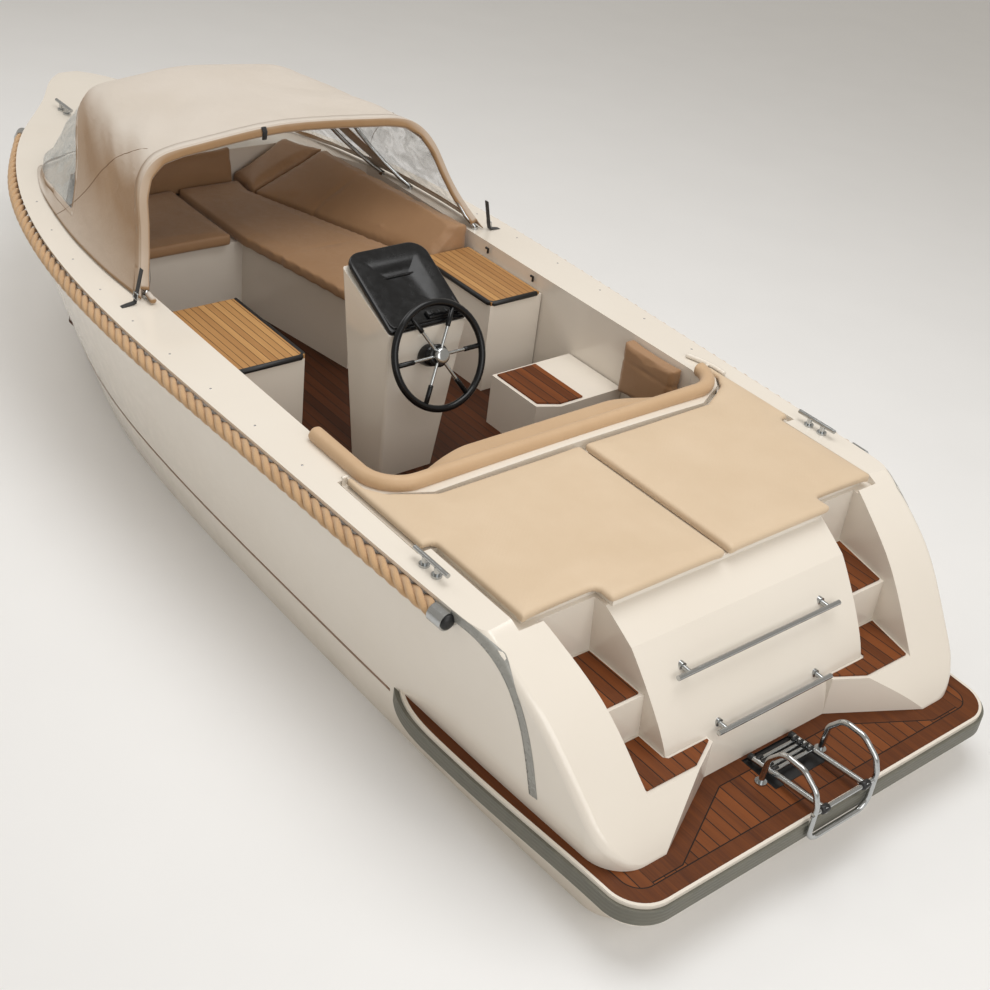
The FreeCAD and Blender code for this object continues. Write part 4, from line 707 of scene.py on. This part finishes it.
crinkle = (numpy.sin(38 * v + 20 * u) + numpy.sin(61 * u - 23 * v)) * 0.0022 * numpy.clip((u - reach[3]) / 0.1, 0, 1)
shift = (creases + crinkle) * slack + puckers * slack - sag
cloth = cloth + normal * (shift - 0.001)[:, :, None]


def side_zone(corners):
    """Window outline in the side view, in metres."""
    return [(HOOD_AFT + HOOD_LONG * a, HOOD_BASE + HOOD_HIGH * h) for a, h in corners]


def grown(zone, margin):
    """The same outline moved out by a margin on every side."""
    out = []
    n = len(zone)
    area = sum(zone[i][0] * zone[(i + 1) % n][1] - zone[(i + 1) % n][0] * zone[i][1] for i in range(n))
    lines = []
    for i in range(n):
        (x0, z0), (x1, z1) = zone[i], zone[(i + 1) % n]
        size = math.hypot(x1 - x0, z1 - z0)
        nx, nz = (z1 - z0) / size, -(x1 - x0) / size
        if area < 0:
            nx, nz = -nx, -nz
        lines.append((nx, nz, nx * x0 + nz * z0 + margin))
    return lines


def inside(lines, x, z):
    """True where a point of the side view lies within an outline."""
    return all(nx * x + nz * z < far + 1e-6 for nx, nz, far in lines)


BINDING = 0.016
POST_IN, POST_OUT = 0.24, 0.27
front_zone = side_zone([(0.475, 0.15), (0.755, 0.8), (3.0, 0.8), (3.0, 0.1), (0.88, 0.085)])
side_window = side_zone([(0.065, 0.1), (0.215, 0.77), (0.665, 0.76), (0.385, 0.13)])
front_in, front_out = grown(front_zone, 0.0), grown(front_zone, BINDING)
side_in, side_out = grown(side_window, 0.0), grown(side_window, BINDING)

sheet = bmesh.new()
grid = [[sheet.verts.new(tuple(cloth[i, k])) for k in range(ACROSS)] for i in range(ALONG)]
for i in range(ALONG - 1):
    for k in range(ACROSS - 1):
        sheet.faces.new((grid[i][k], grid[i][k + 1], grid[i + 1][k + 1], grid[i + 1][k]))
planes = [(Vector((nx * far, 0, nz * far)), Vector((nx, 0, nz)))
          for lines in (front_in, front_out, side_in, side_out) for nx, nz, far in lines if abs(far) < 4]
planes += [(Vector((0, y, 0)), Vector((0, 1, 0))) for y in (POST_IN, POST_OUT, -POST_IN, -POST_OUT, -0.03)]
for spot, facing in planes:
    bmesh.ops.bisect_plane(sheet, geom=sheet.verts[:] + sheet.edges[:] + sheet.faces[:], plane_co=spot, plane_no=facing,
                           dist=0.0002)
HEM_BACK = 0.045
kinds = {"canvas": [], "window": [], "binding": [], "hem": []}
sheet.faces.ensure_lookup_table()
aft_edge = BVHTree.FromPolygons([Vector(point) for point in cloth[0]] + [Vector(point) for point in cloth[1]],
                                [(k, k + 1, ACROSS + k + 1, ACROSS + k) for k in range(ACROSS - 1)])
for face in sheet.faces:
    x, y, z = face.calc_center_median()
    glass = inside(front_in, x, z) and (abs(y) > POST_OUT or abs(y) < POST_IN)
    glass = glass or (y < -0.03 and inside(side_in, x, z))
    sewn = inside(front_out, x, z) or (y < -0.03 and inside(side_out, x, z))
    kinds["window" if glass else "canvas"].append(face)
    if sewn and not glass:
        kinds["binding"].append(face)
    if aft_edge.find_nearest(Vector((x, y, z)))[3] < HEM_BACK * 0.55:
        kinds["hem"].append(face)


def cut_out(name, faces, made, lift=0.0, thick=0.0016):
    """A piece made of some faces of the sheet, lifted off it."""
    index, points, polygons = {}, [], []
    for face in faces:
        ring = []
        for vert in face.verts:
            if vert.index not in index:
                index[vert.index] = len(points)
                points.append(vert.co + vert.normal * lift)
            ring.append(index[vert.index])
        polygons.append(ring)
    item = piece(name, points, polygons, made)
    thicken(item, thick, -1.0)
    return item


THREAD_SPACING = 0.0022
woven_canvas, tree, shader, place = finish("woven_acrylic_canvas")
threads = []
for axis in (0, 1):
    along = add(tree, "SeparateXYZ", {0: place}, axis)
    along = add(tree, "Math", {0: along, 1: 2 * math.pi / THREAD_SPACING}, operation="MULTIPLY")
    threads.append(add(tree, "Math", {0: along}, operation="SINE"))
weave = add(tree, "Math", {0: threads[0], 1: threads[1]}, operation="MULTIPLY")
fade = add(tree, "TexNoise", {"Vector": place, "Scale": 3.0, "Detail": 5.0})
# Painted light and shade: where the canvas faces up it is mixed to a pale painted-lit colour, and on its steep sides to
# a darker painted-shade colour, by the slope of the cloth.
upward = add(tree, "SeparateXYZ", {0: add(tree, "NewGeometry", out=1)}, 2)
upward = add(tree, "Math", {0: upward}, operation="ABSOLUTE")
painted_top_light_mask = add(tree, "MapRange", {0: upward, 1: 0.3, 2: 0.93, 3: 0.0, 4: 1.0})
shaded = add(tree, "Mix", {"Factor": fade, 6: colour("#a98761"), 7: colour("#987550")}, 2, data_type="RGBA")
painted_lit_top_colour = add(tree, "Mix", {"Factor": fade, 6: colour("#d8cfc5"), 7: colour("#cbc0b2")}, 2, data_type="RGBA")
fold = add(tree, "TexNoise", {"Vector": add(tree, "Mapping", {"Vector": place, "Scale": (5.0, 9.0, 6.0),
                                                              "Rotation": (0.0, 0.0, 0.6)}),
                              "Scale": 1.6, "Detail": 5.0, "Distortion": 0.6})
relief = add(tree, "Math", {0: add(tree, "Math", {0: weave, 1: 0.04}, operation="MULTIPLY"), 1: fold}, operation="ADD")
join(tree, shader, {
    "Base Color": add(tree, "Mix", {"Factor": painted_top_light_mask, 6: shaded, 7: painted_lit_top_colour}, 2, data_type="RGBA"),
    "Roughness": add(tree, "MapRange", {0: weave, 1: -1.0, 2: 1.0, 3: 0.8, 4: 0.93}), "Sheen Weight": 0.2,
    "Normal": add(tree, "Bump", {"Height": relief, "Strength": 0.45, "Distance": 0.014})})
clear_vinyl, tree, shader, place = finish("clear_window_vinyl")
haze = add(tree, "TexNoise", {"Vector": place, "Scale": 12.0, "Detail": 6.0, "Distortion": 1.2})
waves = add(tree, "TexNoise", {"Vector": add(tree, "Mapping", {"Vector": place, "Scale": (7.0, 16.0, 4.0)}),
                               "Scale": 1.0, "Detail": 4.0, "Distortion": 1.5})
join(tree, shader, {
    "Base Color": add(tree, "Mix", {"Factor": haze, 6: colour("#e4e8e8"), 7: colour("#bfc6c7")}, 2, data_type="RGBA"),
    "Alpha": add(tree, "MapRange", {0: haze, 1: 0.35, 2: 0.75, 3: 0.12, 4: 0.42}),
    "Roughness": add(tree, "MapRange", {0: haze, 1: 0.3, 2: 0.7, 3: 0.06, 4: 0.16}),
    "Normal": add(tree, "Bump", {"Height": waves, "Strength": 0.8, "Distance": 0.012})})
canvas = cut_out("hood_sheet", kinds["canvas"], woven_canvas)
windows = cut_out("hood_window_panels", kinds["window"], clear_vinyl, thick=0.0008)
binding = cut_out("hood_window_binding", kinds["binding"], woven_canvas, lift=0.0012, thick=0.001)
hem = cut_out("hood_aft_hem", kinds["hem"], woven_canvas, lift=0.0022, thick=0.002)
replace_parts(canvas, "hood_canvas")
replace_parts(windows, "hood_windows")
sheet.free()


def seam_on_hood(name, points, made, radius=0.0013, count=60):
    """A sewn line along the outside of the hood."""
    outer = BVHTree.FromPolygons([Vector(point) for point in cloth.reshape(-1, 3)],
                                 [(i * ACROSS + k, i * ACROSS + k + 1, (i + 1) * ACROSS + k + 1, (i + 1) * ACROSS + k)
                                  for i in range(ALONG - 1) for k in range(ACROSS - 1)])
    line = []
    for point in through(points, count):
        spot, facing, _, _ = outer.find_nearest(Vector(point))
        facing = facing if facing.dot(spot - Vector((spot.x, 0, 0.9))) > 0 else -facing
        line.append(spot + facing * 0.0005)
    return tube(name, line, radius, made, sides=6)


BOW_IN, BOW_BEND, SLEEVE_R, EDGE_R, ROUND = 0.027, 0.09, 0.0155, 0.0058, 20


def sleeve_path():
    """Middle of the aft bow's tube: straight runs between points under the cloth, with rounded bends."""
    row, facing = rows[0][::4], normal[0][::4]
    knots = [Vector(point - out * BOW_IN) for point, out in zip(row, facing)]
    path = [knots[0]]
    for back, corner, ahead in zip(knots, knots[1:], knots[2:]):
        first, second = (back - corner).normalized(), (ahead - corner).normalized()
        reach = BOW_BEND / math.tan(first.angle(second) / 2)
        for k in range(7):
            t = k / 6
            path.append(corner + first * reach * (1 - t) ** 2 + second * reach * t ** 2)
    return [point for point in through(path + [knots[-1]], 160) if point[2] > 0.902]


def on_aft_edge(spot):
    """Place on the cloth's aft edge that is closest to a spot."""
    edge, found = [Vector(point) for point in cloth[0]], None
    for first, second in zip(edge, edge[1:]):
        share = min(max(intersect_point_line(spot, first, second)[1], 0.0), 1.0)
        place = first.lerp(second, share)
        if found is None or (place - spot).length < (found - spot).length:
            found = place
    return found


points, faces = [], []
path = [Vector(point) for point in sleeve_path()]
for i, spot in enumerate(path):
    run = (path[min(i + 1, len(path) - 1)] - path[max(i - 1, 0)]).normalized()
    rim = on_aft_edge(spot)
    out = rim - spot
    out = (out - run * out.dot(run)).normalized()
    aside = run.cross(out)
    for k in range(ROUND):
        turn = 2 * math.pi * k / ROUND
        base, radius = (rim - out * 0.0035, EDGE_R) if math.cos(turn) > 1e-6 else (spot, SLEEVE_R)
        points.append(base + out * radius * math.cos(turn) + aside * radius * math.sin(turn))
for i in range(len(path) - 1):
    for k in range(ROUND):
        m = (k + 1) % ROUND
        faces.append((i * ROUND + k, i * ROUND + m, (i + 1) * ROUND + m, (i + 1) * ROUND + k))
faces += [tuple(range(ROUND))[::-1], tuple((len(path) - 1) * ROUND + k for k in range(ROUND))]
sleeve = piece("hood_bow_sleeve", points, faces, woven_canvas)
for sign, name in ((1, "port"), (-1, "stbd")):
    line = [(0.72, sign * 0.66, 1.36), (0.95, sign * 0.76, 1.22), (1.18, sign * 0.90, 0.98), (1.24, sign * 0.93, 0.90)]
    seam_on_hood("hood_shoulder_seam_" + name, line, thread)
seam_on_hood("hood_hem_seam", [tuple(point) for point in cloth[2][::6]], thread, 0.0014, 160)


# Hood straps: black webbing from the hood's aft corners to the deck, each with a steel buckle,
# and a short tab at the middle of the aft hem.

RIDGE_SPACING = 0.002
webbing, tree, shader, place = finish("black_polyester_webbing")
height = add(tree, "SeparateXYZ", {0: place}, 2)
ridge = add(tree, "Math", {0: height, 1: 2 * math.pi / RIDGE_SPACING}, operation="MULTIPLY")
ridge = add(tree, "Math", {0: ridge}, operation="SINE")
lint = add(tree, "TexNoise", {"Vector": place, "Scale": 120.0, "Detail": 4.0})
join(tree, shader, {
    "Base Color": add(tree, "Mix", {"Factor": lint, 6: colour("#101011"), 7: colour("#262627")}, 2, data_type="RGBA"),
    "Roughness": add(tree, "MapRange", {0: lint, 1: 0.3, 2: 0.7, 3: 0.65, 4: 0.85}), "Sheen Weight": 0.2,
    "Normal": add(tree, "Bump", {"Height": ridge, "Strength": 0.4, "Distance": 0.0006})})
paint(webbing, "hood_straps")
tube("rolled_flap", [(0.215, 0.9, 0.897), (0.24, 0.897, 0.899), (0.275, 0.893, 0.901)], 0.014, woven_canvas,
     sides=16)
edge_middle = Vector(cloth[0][ACROSS // 2 - 4])
tube("hem_tab", [edge_middle + Vector((-0.006, 0, 0.006)), edge_middle + Vector((-0.02, 0, -0.012)),
                 edge_middle + Vector((-0.016, 0, -0.05))], 0.013, webbing, sides=12, flat=0.3)
for sign, name in ((1, "port"), (-1, "stbd")):
    ring = [(0.262 + dx, sign * (0.962 + dy), 0.912 + dz) for dx, dy, dz in
            ((-0.018, -0.001, -0.012), (0.018, -0.001, -0.012), (0.018, -0.006, 0.014), (-0.018, -0.006, 0.014))]
    tube("strap_buckle_" + name, ring, 0.0028, stainless, sides=8, closed=True)


# Steering wheel: a black moulded rim, six steel spokes with black outer sleeves and a domed
# hub cap, on a black bell behind the hub.

gloss_black, tree, shader, place = finish("moulded_gloss_black")
film = add(tree, "TexNoise", {"Vector": place, "Scale": 30.0, "Detail": 6.0})
ripple = add(tree, "TexNoise", {"Vector": place, "Scale": 90.0, "Detail": 1.0})
join(tree, shader, {
    "Base Color": add(tree, "Mix", {"Factor": film, 6: colour("#08080a"), 7: colour("#111214")}, 2, data_type="RGBA"),
    "Roughness": add(tree, "MapRange", {0: film, 1: 0.3, 2: 0.75, 3: 0.16, 4: 0.3}), "Specular IOR Level": 0.3,
    "Coat Weight": 0.1, "Coat Roughness": 0.1,
    "Normal": add(tree, "Bump", {"Height": ripple, "Strength": 0.04, "Distance": 0.0006})})
paint(gloss_black, "wheel_rim", "dash")
hub = Vector((-0.838, 0.165, 0.968))
lean_angle = math.radians(24.0)
axle = Vector((-math.cos(lean_angle), 0, math.sin(lean_angle)))
spoke_up = axle.cross(Vector((0, 1, 0)))
for i in range(6):
    turn = math.pi * i / 3
    arm = Vector((0, 1, 0)) * math.cos(turn) + spoke_up * math.sin(turn)
    tube("spoke_sleeve_%d" % i, [hub + arm * 0.128, hub + arm * 0.14, hub + arm * 0.203], 0.0105, gloss_black,
         "steering_wheel", sides=14)


def turned(name, profile, foot, axis, made, body="hull", sides=40):
    """A turned piece: profile gives height along the axis and radius, from one end to the other."""
    side = axis.cross(Vector((0, 0, 1)) if abs(axis.z) < 0.9 else Vector((1, 0, 0))).normalized()
    up = axis.cross(side)
    points, faces = [], []
    for high, radius in profile:
        for k in range(sides):
            turn = 2 * math.pi * k / sides
            points.append(foot + axis * high + (side * math.cos(turn) + up * math.sin(turn)) * max(radius, 0.0002))
    for i in range(len(profile) - 1):
        for k in range(sides):
            m = (k + 1) % sides
            faces.append((i * sides + k, i * sides + m, (i + 1) * sides + m, (i + 1) * sides + k))
    faces.append(tuple(range(sides))[::-1])
    faces.append(tuple((len(profile) - 1) * sides + k for k in range(sides)))
    return piece(name, points, faces, made, body)


turned("hub_cap", [(0.0215, 0.033), (0.026, 0.0335), (0.030, 0.031), (0.033, 0.026), (0.0345, 0.018), (0.035, 0.006)],
       hub, axle, stainless, "steering_wheel")
turned("column_bell", [(-0.115, 0.036), (-0.1, 0.044), (-0.075, 0.048), (-0.045, 0.046), (-0.031, 0.038),
                       (-0.0265, 0.026)], hub, axle, gloss_black)
turned("hub_ring", [(-0.010, 0.0345), (-0.009, 0.046), (-0.004, 0.048), (0.002, 0.046), (0.003, 0.0345)], hub, axle,
       gloss_black, "steering_wheel")


# Dash: a glossy black moulding on the sloping console top, with a raised frame round a flat
# panel, a rounded brow at its fore edge and a switch block at its aft edge.

slope = Vector((0.36, 0, 0.155)).normalized()
lift = Vector((-slope.z, 0, slope.x))
dash_foot = Vector((-0.76, 0, 1.06)) + lift * 0.0203


def on_dash(along, y, up):
    """Place on the sloping dash: along its slope, to port and above it."""
    return dash_foot + slope * along + lift * up + Vector((0, y, 0))


def dash_ring(inset, up):
    """Outline of the dash moved in by an inset, with small corners aft and wide corners fore."""
    ring = []
    for a, y, radius, start in ((0.003, -0.023, 0.02, 180), (0.415, -0.023, 0.075, 270), (0.415, 0.363, 0.075, 0),
                                (0.003, 0.363, 0.02, 90)):
        small = max(radius - inset, 0.002)
        a_in = a + (inset + small if a < 0.2 else -inset - small)
        y_in = y + (inset + small if y < 0.2 else -inset - small)
        for k in range(9):
            turn = math.radians(start + k * 90 / 8)
            along, across = a_in + small * math.cos(turn), y_in + small * math.sin(turn)
            t = min(max((along - 0.275) / 0.07, 0), 1)
            ring.append(on_dash(along, across, up + 0.027 * t * t * (3 - 2 * t)))
    return ring


rings = [dash_ring(0.002, -0.0198), dash_ring(0, -0.0185), dash_ring(0, -0.009)]
rings += [dash_ring(0.009 * (1 - math.cos(k * math.pi / 10)), -0.009 + 0.009 * math.sin(k * math.pi / 10))
          for k in range(1, 6)]
rings += [dash_ring(inset, 0.0) for inset in (0.02, 0.035, 0.055, 0.08, 0.11, 0.14, 0.17, 0.186)]
count = len(rings[0])
faces = [(i * count + k, i * count + (k + 1) % count, (i + 1) * count + (k + 1) % count, (i + 1) * count + k)
         for i in range(len(rings) - 1) for k in range(count)]
faces += [tuple(range(count))[::-1], tuple((len(rings) - 1) * count + k for k in range(count))]
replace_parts(piece("dash_moulding", [point for ring in rings for point in ring], faces, gloss_black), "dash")
frame_line = [on_dash(a, y, 0.001) for a, y in ((0.02, -0.005), (0.27, -0.005), (0.27, 0.345), (0.02, 0.345))]
loop = []
for i, corner in enumerate(frame_line):
    back, ahead = frame_line[i - 1], frame_line[(i + 1) % 4]
    for k in range(7):
        turn = k / 6 * math.pi / 2
        first, second = (back - corner).normalized() * 0.022, (ahead - corner).normalized() * 0.022
        loop.append(corner + first * (1 - math.sin(turn)) + second * (1 - math.cos(turn)))
tube("dash_frame", loop, 0.006, gloss_black, sides=12, closed=True)


def rounded_block(name, low, high, place_point, made, bevel=0.008, body="hull"):
    """A moulded block with rounded edges in a local frame."""
    mesh = bmesh.new()
    bmesh.ops.create_cube(mesh, size=1.0)
    for vert in mesh.verts:
        for k in range(3):
            vert.co[k] = low[k] if vert.co[k] < 0 else high[k]
    bmesh.ops.bevel(mesh, geom=mesh.edges[:], offset=bevel, segments=4, profile=0.5, affect="EDGES")
    for vert in mesh.verts:
        vert.co = place_point(*vert.co)
    bmesh.ops.recalc_face_normals(mesh, faces=mesh.faces)
    data = bpy.data.meshes.new(name)
    mesh.to_mesh(data)
    mesh.free()
    data.polygons.foreach_set("use_smooth", [True] * len(data.polygons))
    item = bpy.data.objects.new(name, data)
    bpy.context.scene.collection.objects.link(item)
    data.materials.append(made)
    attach(item, body)
    return item


rounded_block("switch_block", (0.020, 0.015, -0.001), (0.066, 0.165, 0.016), on_dash, gloss_black,
              bevel=0.008)
for i in range(4):
    y = 0.035 + 0.033 * i
    rounded_block("rocker_%d" % i, (0.030, y - 0.011, 0.012), (0.054, y + 0.011, 0.019), on_dash, gloss_black,
                  bevel=0.003)


# Engine, shaft gear, propeller and rudder: below the lid and under the water.
# The engine block is painted iron, the gear is sand-cast bronze with a dull skin.

engine_paint, tree, shader, place = finish("painted_cast_iron")
sand = add(tree, "TexNoise", {"Vector": place, "Scale": 180.0, "Detail": 5.0})
oil = add(tree, "TexNoise", {"Vector": place, "Scale": 8.0, "Detail": 5.0})
join(tree, shader, {
    "Base Color": add(tree, "Mix", {"Factor": oil, 6: colour("#5a6265"), 7: colour("#474d4f")}, 2, data_type="RGBA"),
    "Roughness": add(tree, "MapRange", {0: oil, 1: 0.3, 2: 0.7, 3: 0.35, 4: 0.6}),
    "Normal": add(tree, "Bump", {"Height": sand, "Strength": 0.4, "Distance": 0.0008})})
paint(engine_paint, "engine")
bronze, tree, shader, place = finish("cast_bronze")
skin = add(tree, "TexNoise", {"Vector": place, "Scale": 16.0, "Detail": 6.0})
pits = add(tree, "TexNoise", {"Vector": place, "Scale": 260.0, "Detail": 4.0})
join(tree, shader, {
    "Base Color": add(tree, "Mix", {"Factor": skin, 6: colour("#9a7a48"), 7: colour("#6f5a3a")}, 2, data_type="RGBA"),
    "Metallic": 1.0, "Roughness": add(tree, "MapRange", {0: skin, 1: 0.3, 2: 0.7, 3: 0.25, 4: 0.5}),
    "Normal": add(tree, "Bump", {"Height": pits, "Strength": 0.25, "Distance": 0.0006})})
paint(bronze, "stern_gear", "propeller", "rudder")


# Deck trim: a white moulded crescent at the starboard end of the roll, and the round heads
# of the screws that hold the gunwale moulding along each side deck.

def deck_point(x, y):
    """Place on the deck under a point of the plan view."""
    spot, _, _, _ = hull_surface.ray_cast(Vector((x, y, 1.3)), Vector((0, 0, -1)))
    return spot


crescent = []
for x, y in ((-1.20, -0.925), (-1.27, -0.945), (-1.345, -0.955), (-1.40, -0.953)):
    spot = deck_point(x, y)
    crescent.append((x, y, max(spot.z, 0.88) + 0.004))
tube("roll_end_moulding", crescent, 0.011, gelcoat, sides=12, count=30)
SCREWS, FIRST_SCREW, SCREW_GAP, SCREW_INSET = 9, -1.15, 0.32, 0.062
screw_head = [(-0.0005, 0.0048), (0.0007, 0.0047), (0.0013, 0.0035), (0.0015, 0.001)]
for sign, name in ((1, "port"), (-1, "stbd")):
    for i in range(SCREWS):
        x = FIRST_SCREW + SCREW_GAP * i
        beam, _ = gunwale([(x - DECK_AFT) / DECK_LONG])
        spot = deck_point(x, sign * (beam[0] - SCREW_INSET))
        if spot is not None and spot.z > 0.8:
            turned("deck_screw_%s_%d" % (name, i), screw_head, spot, Vector((0, 0, 1)), stainless,
                   sides=16)


# Floor: a plain pale studio floor, which is not part of the boat.
# It lies at the height of the water, so the bottom of the hull is under it.

floor_mesh = bpy.data.meshes.new("floor")
FLOOR = 60.0
floor_mesh.from_pydata([(-FLOOR, -FLOOR, 0), (FLOOR, -FLOOR, 0), (FLOOR, FLOOR, 0), (-FLOOR, FLOOR, 0)], [],
                       [(0, 1, 2, 3)])
floor = bpy.data.objects.new("floor", floor_mesh)
bpy.context.scene.collection.objects.link(floor)
pale_floor, tree, shader, place = finish("pale_floor")
faint = add(tree, "TexNoise", {"Vector": place, "Scale": 2.0, "Detail": 2.0})
join(tree, shader, {
    "Base Color": add(tree, "Mix", {"Factor": faint, 6: colour("#efefef"), 7: colour("#ebebeb")}, 2, data_type="RGBA"),
    "Roughness": 0.85})
paint(pale_floor, floor)


# Light: a wide soft studio light high over the bow, a fill from the port quarter and a pale
# surround that the camera, metal and glass see as white.

def area_light(name, energy, size, at, aim):
    """A soft rectangular light that looks at a point."""
    lamp = bpy.data.lights.new(name, "AREA")
    lamp.energy = energy
    lamp.shape = "RECTANGLE"
    lamp.size, lamp.size_y = size
    item = bpy.data.objects.new(name, lamp)
    item.location = at
    item.rotation_euler = (Vector(aim) - Vector(at)).to_track_quat("-Z", "Y").to_euler()
    bpy.context.scene.collection.objects.link(item)


area_light("key", 215, (4.5, 4.5), (-1.2, -0.6, 6.8), (0, 0, 0.5))
area_light("bow", 90, (4, 4), (5.0, 1.5, 5.5), (0.5, 0, 0.8))
area_light("fill", 165, (6, 5), (-7.5, 1.5, 4.2), (0, 0, 0.5))
world = bpy.data.worlds.new("surround")
bpy.context.scene.world = world
world.use_nodes = True
tree = world.node_tree
background = next(node for node in tree.nodes if node.type == "BACKGROUND")
seen = add(tree, "LightPath")
join(tree, background, {
    "Color": add(tree, "Mix", {"Factor": seen, 6: colour("#c1bcb4"), 7: (1.0, 1.0, 1.0, 1.0)}, 2, data_type="RGBA"),
    "Strength": 0.88})


# Camera: high over the port quarter. The heading turns from the bow to starboard, the tilt looks
# down, and the roll is the slight lean of the frame.

camera_data = bpy.data.cameras.new("camera")
camera_data.lens = 53.0
camera_data.sensor_width = 36.0
camera = bpy.data.objects.new("camera", camera_data)
heading, tilt, roll_angle = math.radians(-42.232), math.radians(33.032), math.radians(7.485)
look = Vector((math.cos(heading) * math.cos(tilt), math.sin(heading) * math.cos(tilt), -math.sin(tilt)))
right = look.cross(Vector((0, 0, 1))).normalized()
upward = right.cross(look)
right, upward = (right * math.cos(roll_angle) + upward * math.sin(roll_angle),
                 upward * math.cos(roll_angle) - right * math.sin(roll_angle))
camera.matrix_world = Matrix((
    (right.x, upward.x, -look.x, -4.935),
    (right.y, upward.y, -look.y, 3.481),
    (right.z, upward.z, -look.z, 3.754),
    (0, 0, 0, 1)))
bpy.context.scene.collection.objects.link(camera)
bpy.context.scene.camera = camera
bpy.context.scene.view_settings.view_transform = "Standard"
